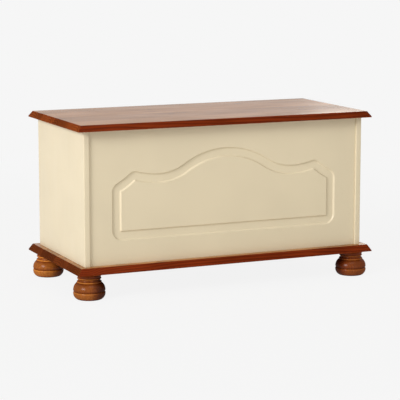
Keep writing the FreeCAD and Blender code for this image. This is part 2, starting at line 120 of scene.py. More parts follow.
# %% [markdown]
# The others do sums on numbers and vectors, fade one range of values into another and
# mix colours. Every finish and every shape tree below is put together from them.

# %% Sums, fades and mixes
def calc(tree, operation, a, b=0.0, c=0.0):
    """One sum on numbers, such as "MULTIPLY"; gives the output socket."""
    return node(tree, "ShaderNodeMath", {0: a, 1: b, 2: c}, operation=operation).outputs[0]


def product(tree, *factors):
    """All the factors multiplied together."""
    total = factors[0]
    for factor in factors[1:]:
        total = calc(tree, "MULTIPLY", total, factor)
    return total


def hypotenuse(tree, a, b):
    """The distance that two distances at right angles add up to."""
    return calc(tree, "SQRT", calc(tree, "MULTIPLY_ADD", a, a, product(tree, b, b)))


def vector_calc(tree, operation, a, b):
    """One sum on vectors, such as "ADD"; gives the output socket."""
    return node(tree, "ShaderNodeVectorMath", {0: a, 1: b}, operation=operation).outputs["Vector"]


def stretched(tree, point, factors):
    """A point with its x, y and z each multiplied by a factor of its own."""
    return vector_calc(tree, "MULTIPLY", point, factors)


def scaled(tree, vector, factor):
    """A vector or a colour made longer or lighter by one factor."""
    made = node(tree, "ShaderNodeVectorMath", {0: vector, "Scale": factor}, operation="SCALE")
    return made.outputs["Vector"]


def fade(tree, value, start, end, low=0.0, high=1.0):
    """Turns a range of values smoothly into another range."""
    made = node(
        tree,
        "ShaderNodeMapRange",
        {"Value": value, "From Min": start, "From Max": end, "To Min": low, "To Max": high},
        interpolation_type="SMOOTHSTEP",
    )
    return made.outputs["Result"]


def blend_colours(tree, share, first, second):
    """The first colour where the share is 0, the second where it is 1."""
    return node(tree, "ShaderNodeMix", {0: share, 6: first, 7: second}, data_type="RGBA").outputs[2]


def noise(tree, point, scale, detail=2.0, roughness=0.5):
    """Soft random clouds, about 0.3 to 0.7, the same at every run."""
    made = node(
        tree,
        "ShaderNodeTexNoise",
        {"Vector": point, "Scale": scale, "Detail": detail, "Roughness": roughness},
    )
    return made.outputs["Fac"]

# %% [markdown]
# A group is a tree that other trees use as one node. It names its inputs and outputs, so
# an effect that several finishes share is built once and used with different values.

# %% Open a group
FLOAT, VECTOR = "NodeSocketFloat", "NodeSocketVector"
SHADER_TREE = "ShaderNodeTree"


def open_group(name, kind, inputs, outputs):
    """A new node group with named sockets; gives the tree, its input and output nodes."""
    tree = bpy.data.node_groups.new(name, kind)
    for label, socket_type, value in inputs:
        socket = tree.interface.new_socket(label, in_out="INPUT", socket_type=socket_type)
        if value is not None:
            socket.default_value = value
    for label, socket_type in outputs:
        tree.interface.new_socket(label, in_out="OUTPUT", socket_type=socket_type)
    return tree, tree.nodes.new("NodeGroupInput"), tree.nodes.new("NodeGroupOutput")

# %% [markdown]
# A stain or a paint is matched, so its colour is written as a screen shows it, 0
# to 255. The renderer works with linear numbers, and one small function turns one into
# the other.

# %% Colours
def srgb(red, green, blue):
    """A colour as it reads on a screen, 0 to 255, turned into the renderer's numbers."""
    def linear(value):
        value /= 255
        return value / 12.92 if value <= 0.04045 else ((value + 0.055) / 1.055) ** 2.4
    return (linear(red), linear(green), linear(blue), 1.0)


def darker(colour, share):
    """The same colour with only this share of its light."""
    return tuple(share * part for part in colour[:3]) + (1.0,)

# %% [markdown]
# ## The shared effects
# Pine shows its log: growth rings that run the length of a board as streaks and show as
# arcs on its ends, fine fibres, knots where branches left the stem, and clouds where it
# drank more stain. All of it follows from where the board sat in the log. So each wooden
# piece carries an attribute named log: its place measured from the heart of its own
# log, with x along the stem. A flat picture of wood would not turn the corner from face
# to end; a solid pattern does. The stem wanders, slowly over a metre and quicker over a
# hand's breadth, so the streaks on a board are never quite straight.

# %% The stem wanders
RING_SPACING = 5.4 * MM
SLOW_WANDER = 36.0 * MM
QUICK_WANDER = 3.0 * MM


def round_the_heart(tree, place):
    """Place along the stem, distance from its wandering heart, and angle about it."""
    shifts = []
    for factors, wander in (((1.6, 7, 7), SLOW_WANDER), ((9, 60, 60), QUICK_WANDER)):
        drift = node(tree, "ShaderNodeTexNoise", {"Vector": stretched(tree, place, factors), "Scale": 1.0})
        shifts.append(stretched(tree, drift.outputs["Color"], (0, wander, wander)))
    moved = vector_calc(tree, "ADD", place, vector_calc(tree, "ADD", *shifts))
    along, across, deep = node(tree, "ShaderNodeSeparateXYZ", {0: moved}).outputs
    half_wander = (SLOW_WANDER + QUICK_WANDER) / 2
    across = calc(tree, "SUBTRACT", across, half_wander)
    deep = calc(tree, "SUBTRACT", deep, half_wander)
    return along, hypotenuse(tree, across, deep), calc(tree, "ARCTAN2", deep, across)

# %% [markdown]
# Branches leave the stem here and there, and a knot is a branch cut through. Unrolled,
# the stem's skin is a plain of cells, and each cell may hold one branch. The rings bend
# outwards round it, as they do in a tree that grew round its branches.

# %% Knots
CELLS_PER_METRE = 5.5
CELLS_PER_RADIAN = 1.3
KNOT_STRETCH = 1.5
SMALLEST_KNOT = 2.5 * MM
KNOT_RANGE = 5.5 * MM
SWELLING_REACH = 34.0 * MM
SWELLING = 11.0 * MM


def knots_in(tree, along, radius, angle, share_of_cells):
    """A mask of the knots, and how far they push the rings outwards."""
    along_cells = product(tree, along, CELLS_PER_METRE)
    round_cells = product(tree, angle, CELLS_PER_RADIAN)
    place = node(tree, "ShaderNodeCombineXYZ", {0: along_cells, 1: round_cells}).outputs[0]
    cells = node(
        tree,
        "ShaderNodeTexVoronoi",
        {"Vector": place, "Scale": 1.0, "Randomness": 0.9},
        voronoi_dimensions="2D",
    ).outputs
    offset = vector_calc(tree, "SUBTRACT", place, cells["Position"])
    away = node(tree, "ShaderNodeSeparateXYZ", {0: offset}).outputs
    away_along = calc(tree, "DIVIDE", away[0], CELLS_PER_METRE * KNOT_STRETCH)
    away_round = product(tree, calc(tree, "DIVIDE", away[1], CELLS_PER_RADIAN), radius)
    distance = hypotenuse(tree, away_along, away_round)
    chance = node(tree, "ShaderNodeSeparateXYZ", {0: cells["Color"]}).outputs
    is_branch = calc(tree, "LESS_THAN", chance[0], share_of_cells)
    knot_radius = calc(tree, "MULTIPLY_ADD", chance[1], KNOT_RANGE, SMALLEST_KNOT)
    knot = fade(tree, calc(tree, "DIVIDE", distance, knot_radius), 1.15, 0.85)
    swelling = fade(tree, distance, SWELLING_REACH, 0.0, 0.0, SWELLING)
    return product(tree, knot, is_branch), product(tree, swelling, is_branch)

# %% [markdown]
# Within one ring the light early wood darkens slowly to late wood, then ends in a hard
# line where the next spring began. Fibres and stain clouds are noise, drawn out along
# the stem. The group gives them as masks and leaves the colours to each finish.

# %% The figure of pine
def pine_figure_group():
    tree, given, result = open_group(
        "pine_figure",
        SHADER_TREE,
        [
            ("Log place", VECTOR, None),
            ("Ring spacing", FLOAT, RING_SPACING),
            ("Knots", FLOAT, 0.45),
        ],
        [("Rings", FLOAT), ("Fibres", FLOAT), ("Clouds", FLOAT), ("Knot", FLOAT), ("Height", FLOAT)],
    )
    place = given.outputs["Log place"]
    along, radius, angle = round_the_heart(tree, place)
    knot, swelling = knots_in(tree, along, radius, angle, given.outputs["Knots"])
    grown_radius = calc(tree, "ADD", radius, swelling)
    phase = calc(tree, "FRACT", calc(tree, "DIVIDE", grown_radius, given.outputs["Ring spacing"]))
    rings = product(tree, fade(tree, phase, 0.25, 0.9), fade(tree, phase, 1.0, 0.92))
    fibres = noise(tree, stretched(tree, place, (9, 420, 420)), 1.0, 3.0, 0.6)
    clouds = noise(tree, stretched(tree, place, (5, 14, 14)), 1.0, 3.0, 0.55)
    height = calc(tree, "ADD", product(tree, rings, 0.5), product(tree, fibres, 0.6))
    for name, socket in {
        "Rings": rings, "Fibres": fibres, "Clouds": clouds, "Knot": knot, "Height": height,
    }.items():
        tree.links.new(socket, result.inputs[name])
    return tree


pine_figure = pine_figure_group()
print("pine_figure has", len(pine_figure.nodes), "nodes")

# %% [markdown]
# Every arris on a used chest is a little rubbed: paint thins, stain goes pale, plating
# shines. An edge is where the surface turns, and the Bevel node knows that: it rounds
# the shading normal within a small radius, so where it differs from the true normal
# there is an edge. One group gives that mask, broken up by noise, to every finish.

# %% Rubbed edges
RUB_REACH = 1.2 * MM


def rubbed_edges_group():
    tree, given, result = open_group(
        "rubbed_edges",
        SHADER_TREE,
        [("Point", VECTOR, None), ("Breaking up", FLOAT, 120.0)],
        [("Edge", FLOAT)],
    )
    rounded_normal = node(tree, "ShaderNodeBevel", {"Radius": RUB_REACH}, samples=4).outputs[0]
    true_normal = node(tree, "ShaderNodeNewGeometry").outputs["True Normal"]
    likeness = node(
        tree, "ShaderNodeVectorMath", {0: rounded_normal, 1: true_normal}, operation="DOT_PRODUCT"
    )
    edge = fade(tree, likeness.outputs["Value"], 0.99, 0.86)
    patchy = fade(tree, noise(tree, given.outputs["Point"], given.outputs["Breaking up"]), 0.35, 0.65)
    tree.links.new(product(tree, edge, patchy), result.inputs["Edge"])
    return tree


rubbed_edges = rubbed_edges_group()
print("rubbed_edges has", len(rubbed_edges.nodes), "nodes")

# %% [markdown]
# Corners and joints hold a thin dark line, partly dirt that dusting never reaches and partly
# painted shade. The Ambient Occlusion node measures how closed-in a point is; counting
# neighbouring pieces too, it darkens the joint between two boards without any painting by hand.

# %% Dirt and painted shade in corners
DIRT_AND_SHADE_REACH = 3.0 * MM


def dirt_and_shade_group():
    tree, given, result = open_group(
        "dirt_and_shade",
        SHADER_TREE,
        [("Point", VECTOR, None), ("Strength", FLOAT, 0.55)],
        [("Dirt and shade", FLOAT)],
    )
    openness = node(tree, "ShaderNodeAmbientOcclusion", {"Distance": DIRT_AND_SHADE_REACH}, samples=4)
    # Closed-in points are darkened, partly as dirt and partly as painted shade.
    closed_in = fade(tree, openness.outputs["AO"], 0.62, 0.25)
    patches = fade(tree, noise(tree, given.outputs["Point"], 30.0, 3.0), 0.3, 0.7, 0.5, 1.0)
    dirt_shade = product(tree, closed_in, patches, given.outputs["Strength"])
    tree.links.new(dirt_shade, result.inputs["Dirt and shade"])
    return tree


dirt_and_shade = dirt_and_shade_group()
print("shared groups:", [group.name for group in bpy.data.node_groups])

# %% [markdown]
# ## The finishes
# A finish is a small material: one Principled shader, fed by the shared effects. The
# gloss of lacquer is a coat over the colour, so at a low angle the lid mirrors the room
# while its bevels stay deep red.

# %% Open a material, place a group, raise a surface
def open_material(name, **constants):
    """A new material with one Principled shader; constants are set on its own sockets."""
    made = bpy.data.materials.new(name)
    made.use_nodes = True
    shader = made.node_tree.nodes["Principled BSDF"]
    for label, value in constants.items():
        shader.inputs[label.replace("_", " ")].default_value = value
    return made, made.node_tree, shader


def placed(tree, group, inputs=()):
    """Puts a shared group in a material, with this material's own values."""
    return node(tree, "ShaderNodeGroup", inputs, node_tree=group).outputs


def raised(tree, shader, height, depth):
    """Feeds a height to the shader as a bump; depth is how far full height stands out."""
    made = node(tree, "ShaderNodeBump", {"Height": height, "Distance": depth})
    tree.links.new(made.outputs["Normal"], shader.inputs["Normal"])


def attribute(tree, name, output="Fac"):
    """What a piece carries under this name: a number ("Fac") or a "Vector"."""
    return node(tree, "ShaderNodeAttribute", attribute_name=name).outputs[output]


def object_point(tree):
    """The place of a point in the chest's own frame, in metres."""
    return node(tree, "ShaderNodeTexCoord").outputs["Object"]

# %% [markdown]
# Stained pine is bare pine seen through a coloured glaze. The soft early wood drinks it
# and the late wood keeps a darker line; knots go nearly black and end grain stays more
# orange. Each board has its own tone, because no two boards drink alike.
#
# Some pieces carry more than their log. A foot is turned from a blank of two glued
# pieces: "glue" says how far a point lies past the glue line, and beyond it another log
# begins. Across the blank the foot is also painted darker towards and past the glue line,
# as shade, and less rubbed there, so the near side reads paler as painted light. On a
# stave, "joints" says how near a glue joint is, because an edge that is glued to its
# neighbour can't be rubbed. A piece without them reads 0 and has neither.

# %% Which log, how light, how rubbed
GLUE_LINE = 8.0 * MM
GLUE_LINE_WIDTH = 0.2 * MM
OTHER_LOG = (1.7, 0.02, 0.03)
EDGE_RUB = 0.65
# How tone and wear change across a glued blank, painting shade on the far side of the glue line and light on
# the near side: from, to, before, after.
TONE_AND_SHADE_ACROSS = (2.0 * MM, 34.0 * MM, 1.0, 0.4)
WEAR_AND_LIGHT_ACROSS = (0.0, 26.0 * MM, 1.0, 0.35)


def log_place(tree, second_half):
    """Where a point was in its log; past the glue line that is another log."""
    return vector_calc(tree, "ADD", attribute(tree, "log", "Vector"), scaled(tree, OTHER_LOG, second_half))


def stain_and_shade_lightness(tree, figure, glue, second_half):
    """The board's tone, lighter and darker with fibres, clouds, and the painted shade across the blank."""
    other_tone = fade(tree, second_half, 0, 1, 1.0, 0.97)
    # The tone falls across the blank: painted shade on one side of a foot.
    tone = product(tree, attribute(tree, "tone"), other_tone, fade(tree, glue, *TONE_AND_SHADE_ACROSS))
    fibre_shade = fade(tree, figure["Fibres"], 0.3, 0.7, 0.86, 1.1)
    cloud_shade = fade(tree, figure["Clouds"], 0.3, 0.7, 1.12, 0.84)
    return product(tree, fibre_shade, cloud_shade, tone)


def free_edges(tree, point):
    """Rubbed edges, but none along a glue joint."""
    joints = node(tree, "ShaderNodeSeparateXYZ", {0: attribute(tree, "joints", "Vector")}).outputs
    free = fade(tree, calc(tree, "MAXIMUM", joints[0], joints[1]), 0.0, MM, EDGE_RUB, 0.0)
    return product(tree, placed(tree, rubbed_edges, {"Point": point})["Edge"], free)

# %% [markdown]
# The finish goes on in a maker's order: the figure of early and late wood, then what use
# has rubbed, end grain, knots, the depth of the stain with the painted shade across a foot,
# rubbed edges, and last dirt with painted shade in the corners. The clear coat lies over
# all of it, and is a little thinner where the wood is cloudy.

# %% Stained and plain pine
COAT_ROUGHNESS = 0.22
CLOUD_CONTRAST = 0.3


def pine(
    name, early, late, knot, end, rubbed, gloss, coat_ior=1.5, knots=0.45, spacing=RING_SPACING,
    ring_contrast=0.62, dirt_shade=0.55,
):
    """Pine with its stain and coat. worn and polish come from the piece, face by face."""
    made, tree, shader = open_material(
        name, Coat_IOR=coat_ior, Coat_Roughness=COAT_ROUGHNESS, Specular_IOR_Level=0.0
    )
    point = object_point(tree)
    glue = attribute(tree, "glue")
    second_half = fade(tree, glue, GLUE_LINE, GLUE_LINE + GLUE_LINE_WIDTH)
    figure = placed(
        tree,
        pine_figure,
        {"Log place": log_place(tree, second_half), "Ring spacing": spacing, "Knots": knots},
    )
    corners = placed(tree, dirt_and_shade, {"Point": point, "Strength": dirt_shade})
    # Wear fades across the blank, so the other side of a foot is painted paler, as light.
    worn = product(tree, attribute(tree, "worn"), fade(tree, glue, *WEAR_AND_LIGHT_ACROSS))
    cloud_share = product(tree, figure["Clouds"], CLOUD_CONTRAST)
    ring_share = calc(tree, "MULTIPLY_ADD", figure["Rings"], ring_contrast, cloud_share)
    worn_share = product(tree, fade(tree, figure["Rings"], 0.0, 1.0, 0.85, 0.6), worn)
    end_share = fade(tree, attribute(tree, "end_grain"), 0.5, 0.9, 0.0, 0.9)
    knot_share = product(tree, figure["Knot"], fade(tree, worn, 0.0, 1.0, 1.0, 0.35))

    colour = blend_colours(tree, ring_share, early, late)
    colour = blend_colours(tree, worn_share, colour, rubbed)
    end_colour = blend_colours(tree, ring_share, end, darker(end, 0.22))
    colour = blend_colours(tree, end_share, colour, end_colour)
    colour = blend_colours(tree, knot_share, colour, knot)
    colour = scaled(tree, colour, stain_and_shade_lightness(tree, figure, glue, second_half))
    colour = blend_colours(tree, free_edges(tree, point), colour, rubbed)
    # Dirt and painted shade darken the corners and joints.
    colour = blend_colours(tree, corners["Dirt and shade"], colour, darker(late, 0.25))
    tree.links.new(colour, shader.inputs["Base Color"])

    tree.links.new(fade(tree, figure["Fibres"], 0.2, 0.8, 0.38, 0.6), shader.inputs["Roughness"])
    patchy_gloss = fade(tree, figure["Clouds"], 0.2, 0.8, gloss, 0.8 * gloss)
    tree.links.new(product(tree, patchy_gloss, attribute(tree, "polish")), shader.inputs["Coat Weight"])
    raised(tree, shader, figure["Height"], 0.05 * MM)
    return made

# %% [markdown]
# The boards are stained and lacquered. The feet take the same stain, but they are small,
# so their rings are closer, and their lacquer is thin. The battens inside are left in
# their own pale colour under a clear coat.

# %% Three kinds of pine
stained_pine = pine(
    "stained_pine",
    early=srgb(123, 46, 15),
    late=srgb(82, 25, 8),
    knot=srgb(62, 20, 7),
    end=srgb(142, 68, 23),
    rubbed=srgb(182, 127, 69),
    gloss=0.75,
    knots=0.08,
)
turned_pine = pine(
    "turned_pine",
    early=srgb(121, 45, 14),
    late=srgb(79, 21, 6),
    knot=srgb(70, 26, 10),
    end=srgb(120, 52, 18),
    rubbed=srgb(176, 112, 44),
    gloss=0.1,
    coat_ior=2.0,
    knots=0.0,
    dirt_shade=0.5,
    spacing=2.6 * MM,
    ring_contrast=0.45,
)
plain_pine = pine(
    "plain_pine",
    early=srgb(226, 192, 140),
    late=srgb(190, 136, 78),
    knot=srgb(116, 66, 34),
    end=srgb(206, 164, 108),
    rubbed=srgb(230, 200, 150),
    gloss=0.4,
    spacing=3.6 * MM,
)
for finish in (stained_pine, turned_pine, plain_pine):
    print("pine finish with", len(finish.node_tree.nodes), "nodes")

# %% [markdown]
# Cream paint goes on by roller and is rubbed down, so it is smooth from afar and has a
# fine stipple up close. It thins on the arrises and gathers a little dirt in the corners
# and along the joints, where painted shade darkens it too.

# %% Cream paint
def painted(name, paint, worn, dirt_shade):
    made, tree, shader = open_material(name, IOR=1.5, Specular_IOR_Level=0.5)
    point = object_point(tree)
    stipple = noise(tree, point, 850.0, 2.0, 0.6)
    strokes = noise(tree, stretched(tree, point, (40, 40, 9)), 1.0, 3.0, 0.6)
    clouds = noise(tree, point, 5.0, 2.0)
    edges = placed(tree, rubbed_edges, {"Point": point, "Breaking up": 160.0})
    corners = placed(tree, dirt_and_shade, {"Point": point})
    colour = blend_colours(tree, fade(tree, clouds, 0.3, 0.7), paint, darker(paint, 0.955))
    colour = blend_colours(tree, product(tree, edges["Edge"], 0.5), colour, worn)
    # Dirt and painted shade darken the corners and joints.
    colour = blend_colours(tree, corners["Dirt and shade"], colour, dirt_shade)
    tree.links.new(colour, shader.inputs["Base Color"])
    tree.links.new(fade(tree, strokes, 0.3, 0.7, 0.42, 0.52), shader.inputs["Roughness"])
    height = calc(tree, "MULTIPLY_ADD", strokes, 1.6, product(tree, stipple, 0.5))
    raised(tree, shader, height, 0.02 * MM)
    return made


cream_paint = painted(
    "cream_paint", paint=srgb(222, 208, 178), worn=srgb(231, 220, 194), dirt_shade=srgb(128, 104, 74)
)
print("cream paint has", len(cream_paint.node_tree.nodes), "nodes")

# %% [markdown]
# The fittings are pressed steel: zinc-plated for the stays, screws and cams, brassed
# for the hinges. Plating clouds as it dries, shows the sheet's rolling lines, and rubs
# bright on its edges.

# %% Plated steel
def plated(name, metal, clouded, edge, rough):
    made, tree, shader = open_material(name, Metallic=1.0)
    point = object_point(tree)
    clouds = noise(tree, point, 55.0, 4.0, 0.6)
    rolling = noise(tree, stretched(tree, point, (2200, 2200, 60)), 1.0, 2.0)
    edges = placed(tree, rubbed_edges, {"Point": point, "Breaking up": 400.0})
    colour = blend_colours(tree, fade(tree, clouds, 0.35, 0.7), metal, clouded)
    colour = blend_colours(tree, product(tree, edges["Edge"], 0.6), colour, edge)
    tree.links.new(colour, shader.inputs["Base Color"])
    clouded_rough = fade(tree, clouds, 0.3, 0.75, rough, rough + 0.16)
    rubbed_smooth = product(tree, edges["Edge"], -0.12)
    tree.links.new(calc(tree, "ADD", clouded_rough, rubbed_smooth), shader.inputs["Roughness"])
    raised(tree, shader, rolling, 0.01 * MM)
    return made


zinc_steel = plated("zinc_steel", srgb(192, 196, 202), srgb(158, 163, 171), srgb(222, 224, 228), 0.28)
brassed_steel = plated("brassed_steel", srgb(206, 168, 92), srgb(172, 132, 66), srgb(236, 206, 136), 0.24)
print("plated steel has", len(zinc_steel.node_tree.nodes), "nodes")

# %% [markdown]
# Dowels are beech: pale, even, with short brown flecks where the rays are cut.

# %% Beech
def beech_wood(name, pale, fleck):
    made, tree, shader = open_material(name, Roughness=0.6, Specular_IOR_Level=0.3)
    log = attribute(tree, "log", "Vector")
    rays = noise(tree, stretched(tree, log, (240, 2600, 2600)), 1.0, 1.0)
    clouds = noise(tree, stretched(tree, log, (30, 200, 200)), 1.0, 2.0)
    colour = blend_colours(tree, fade(tree, rays, 0.62, 0.7, 0.0, 0.8), pale, fleck)
    colour = blend_colours(tree, fade(tree, clouds, 0.3, 0.7, 0.0, 0.25), colour, fleck)
    tree.links.new(colour, shader.inputs["Base Color"])
    raised(tree, shader, rays, 0.02 * MM)
    return made


beech = beech_wood("beech", srgb(214, 178, 134), srgb(166, 118, 78))
print("beech has", len(beech.node_tree.nodes), "nodes")

# %% [markdown]
# ## Floor and light
# The chest stands on a plain pale floor that runs off into a white room. To the camera
# and in reflections the floor and the room are the same near white; as a light source
# the room stays dim, so a colour renders about as it is written.

# %% The room
ROOM_WHITE = srgb(246, 246, 246)
ROOM_TINT = (1.0, 0.975, 0.925, 1.0)
ROOM_GLOW = 0.37


def seen_directly(tree):
    """1 for rays that show the surroundings themselves: camera, glossy, transmission."""
    path = node(tree, "ShaderNodeLightPath").outputs
    direct = calc(tree, "MAXIMUM", path["Is Camera Ray"], path["Is Glossy Ray"])
    return calc(tree, "MAXIMUM", direct, path["Is Transmission Ray"])


world = bpy.data.worlds.new("room")
world.use_nodes = True
scene.world = world
room = world.node_tree
room_glow = room.nodes["Background"]
room_glow.inputs["Color"].default_value = ROOM_TINT
room_glow.inputs["Strength"].default_value = ROOM_GLOW
room_seen = node(room, "ShaderNodeBackground", {"Color": ROOM_WHITE, "Strength": 1.0})
room_mix = node(
    room, "ShaderNodeMixShader", {0: seen_directly(room), 1: room_glow.outputs[0], 2: room_seen.outputs[0]}
)
room.links.new(room_mix.outputs[0], room.nodes["World Output"].inputs["Surface"])
print("the room glows at", ROOM_GLOW)

# %% [markdown]
# The floor keeps a faint shadow near the chest. Further off it fades into the white of
# the room, so no horizon shows.

# %% The floor
FLOOR_COLOUR = srgb(248, 246, 241)
FLOOR_CLOUD = srgb(244, 242, 237)
FLOOR_SEEN = srgb(248, 248, 247)
FLOOR_SIZE = 14.0
FLOOR_HEIGHT = -0.05 * MM
SHADOW_ENDS_FROM, SHADOW_ENDS_BY = 0.9, 2.4
LEAST_WHITE = 0.95

floor_finish, floor_tree, floor_shader = open_material("pale_floor", Roughness=0.9, Specular_IOR_Level=0.0)
floor_clouds = noise(floor_tree, object_point(floor_tree), 1.5)
floor_lit = blend_colours(floor_tree, floor_clouds, FLOOR_COLOUR, FLOOR_CLOUD)
floor_shown = blend_colours(floor_tree, seen_directly(floor_tree), floor_lit, FLOOR_SEEN)
floor_tree.links.new(floor_shown, floor_shader.inputs["Base Color"])
floor_seen = node(floor_tree, "ShaderNodeEmission", {"Color": ROOM_WHITE, "Strength": 1.0})
away = node(floor_tree, "ShaderNodeVectorMath", {0: object_point(floor_tree)}, operation="LENGTH")
whitened = fade(floor_tree, away.outputs["Value"], SHADOW_ENDS_FROM, SHADOW_ENDS_BY, LEAST_WHITE, 1.0)
floor_share = product(floor_tree, seen_directly(floor_tree), whitened)
floor_mix = node(
    floor_tree, "ShaderNodeMixShader", {0: floor_share, 1: floor_shader.outputs[0], 2: floor_seen.outputs[0]}
)
floor_tree.links.new(floor_mix.outputs[0], floor_tree.nodes["Material Output"].inputs["Surface"])

floor_mesh = bpy.data.meshes.new("floor")
half_floor = FLOOR_SIZE / 2
floor_corners = [
    (across * half_floor, deep * half_floor, FLOOR_HEIGHT)
    for across, deep in ((-1, -1), (1, -1), (1, 1), (-1, 1))
]
floor_mesh.from_pydata(floor_corners, [], [(0, 1, 2, 3)])
floor_mesh.materials.append(floor_finish)
floor = new_object("floor", floor_mesh)
print("floor:", FLOOR_SIZE, "m square")

# %% [markdown]
# Most of the light comes from a large soft box well back at the left, so the end board
# is brighter than the front, and every slope of the moulding that faces left catches it.
# A weak one low in front fills the front board. One above it lays the shade under the
# lid and lights the slopes of the moulding that face up. The last, behind at the right,
# shows the back and the far end, and its reflection brightens the lid's far corner.

# %% The soft lights
LAMP_AIM = Vector((0, 0, 0.25))


def soft_light(name, from_left, height, distance, width, length, level, tint):
    """A soft box aimed at the chest. level is how bright it makes white that faces it."""
    turn, rise = math.radians(from_left), math.radians(height)
    away = Vector((-math.sin(turn) * math.cos(rise), -math.cos(turn) * math.cos(rise), math.sin(rise)))
    lamp_data = bpy.data.lights.new(name, "AREA")
    lamp_data.shape = "RECTANGLE"
    lamp_data.size = width
    lamp_data.size_y = length
    lamp_data.energy = level * (math.pi * distance) ** 2
    lamp_data.color = tint
    lamp = new_object(name, lamp_data)
    lamp.location = LAMP_AIM + away * distance
    lamp.rotation_mode = "QUATERNION"
    lamp.rotation_quaternion = (-away).to_track_quat("-Z", "Y")
    print(name, "at", [round(x, 2) for x in lamp.location])


lamps = {
    # name: (degrees round from the front to the left, degrees up, distance, width, length,
    #        level, tint)
    "left_light": (67, 22, 6.5, 2.3, 2.0, 0.7, (0.99, 1.0, 1.03)),
    "front_light": (-4, 0, 3.5, 2.4, 1.6, 0.11, (1.0, 0.98, 0.92)),
    "top_light": (8, 55, 3.5, 2.2, 1.6, 0.14, (1.0, 0.99, 0.96)),
    "back_light": (-129, 22, 4.0, 2.6, 1.4, 0.2, (1.0, 0.98, 0.92)),
}
for lamp_name, settings in lamps.items():
    soft_light(lamp_name, *settings)

# %% [markdown]
# ## Turning a solid into a piece
# Most boards and fittings already have their true shape, cut-outs and screw holes
# included. What they lack is the hand of the maker: no real edge is perfectly sharp.
# Each is copied, its loose triangles are merged into flat faces, and a narrow bevel
# eases every edge, so that it catches a line of light. Modelling them again by hand
# would only risk a hole that misses its screw.

# %% Helpers for meshes
SMOOTH_BELOW = math.radians(32)
FLAT_WITHIN = math.radians(0.4)
MERGE_WITHIN = 0.002 * MM


def as_mesh(name, builder):
    """A mesh from a bmesh, which is then done with."""
    mesh = bpy.data.meshes.new(name)
    builder.to_mesh(mesh)
    builder.free()
    return mesh


def outward_mesh(name, builder):
    """The same, with merged doubles and outward faces."""
    bmesh.ops.remove_doubles(builder, verts=builder.verts, dist=MERGE_WITHIN)
    bmesh.ops.recalc_face_normals(builder, faces=builder.faces)
    return as_mesh(name, builder)


def settled(piece):
    """Turns what the modifiers make of a piece into its own plain mesh."""
    graph = bpy.context.evaluated_depsgraph_get()
    mesh = bpy.data.meshes.new_from_object(piece.evaluated_get(graph), depsgraph=graph)
    piece.modifiers.clear()
    piece.data = mesh
    return piece


def smooth_curves(piece):
    """Smooth shading, except over edges that turn by more than SMOOTH_BELOW."""
    piece.data.shade_smooth()
    piece.data.set_sharp_from_angle(angle=SMOOTH_BELOW)
    return piece

# %% [markdown]
# A solid arrives as loose triangles. Welding their corners and dissolving the seams of
# flat faces gives back the faces that the maker would name: a top, an end, a bore.

# %% A clean copy of a solid
def merged_copy(node_name, name):
    """A node's mesh as closed flat faces instead of loose triangles."""
    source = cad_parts[node_name].data
    builder = bmesh.new()
    bare = bpy.data.meshes.new("bare")
    bare.from_pydata([v.co[:] for v in source.vertices], [], [tuple(p.vertices) for p in source.polygons])
    builder.from_mesh(bare)
    bpy.data.meshes.remove(bare)
    bmesh.ops.remove_doubles(builder, verts=builder.verts, dist=MERGE_WITHIN)
    bmesh.ops.dissolve_limit(
        builder, angle_limit=FLAT_WITHIN, verts=builder.verts, edges=builder.edges
    )
    return new_object(name, as_mesh(name, builder))

# %% [markdown]
# The last steps are the same for every piece: ease its edges, give it its finish, tie it
# to the body that carries it, and hide the part of the construction it stands for.

# %% Ease, finish, hand over
def eased(piece, width, segments=2, turn=30):
    """A narrow rounded bevel on every edge that turns by more than the angle."""
    bevel = piece.modifiers.new("eased edges", "BEVEL")
    bevel.width = width
    bevel.segments = segments
    bevel.limit_method = "ANGLE"
    bevel.angle_limit = math.radians(turn)
    bevel.harden_normals = True
    return settled(smooth_curves(piece))


def hand_over(piece, body, slot, *replaced):
    """Ties a finished piece to its body and hides the nodes it stands for; slot is not used."""
    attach(piece, body)
    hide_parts(*replaced)
    return piece


def finished(piece, finish):
    """Gives a piece its one material."""
    piece.data.materials.clear()
    piece.data.materials.append(finish)
    return piece

# %% [markdown]
# ## Where each board sat in its log
# The pine group wants to know, for every point of a piece, its place in the log. The
# place is worked out once per board: x runs along the grain, and the heart of the log
# lies a chosen distance across and below the board. Faces that look along the grain
# are end grain. A tone per board sets how deeply it took the stain.

# %% Write what a piece carries
def mark_points(mesh, name, kind, value_of):
    """Writes a number or a vector for each point, worked out from its place."""
    marks = mesh.attributes.new(name, kind, "POINT").data
    field = "vector" if kind == "FLOAT_VECTOR" else "value"
    for vertex in mesh.vertices:
        setattr(marks[vertex.index], field, value_of(vertex.co))


def mark_faces(mesh, name, value_of):
    """Writes a number for each face."""
    marks = mesh.attributes.new(name, "FLOAT", "FACE").data
    for face in mesh.polygons:
        marks[face.index].value = value_of(face)

# %% [markdown]
# Only faces that look up are lacquered to a full shine and worn by use; their pale worn
# colour is partly wear and partly painted light on the top. Every other face takes the
# values given for its piece, and end grain may have a tone of its own.

# %% Saw a piece from its log
AXES = {"X": Vector((1, 0, 0)), "Y": Vector((0, 1, 0)), "Z": Vector((0, 0, 1))}
EDGE_POLISH = 0.05


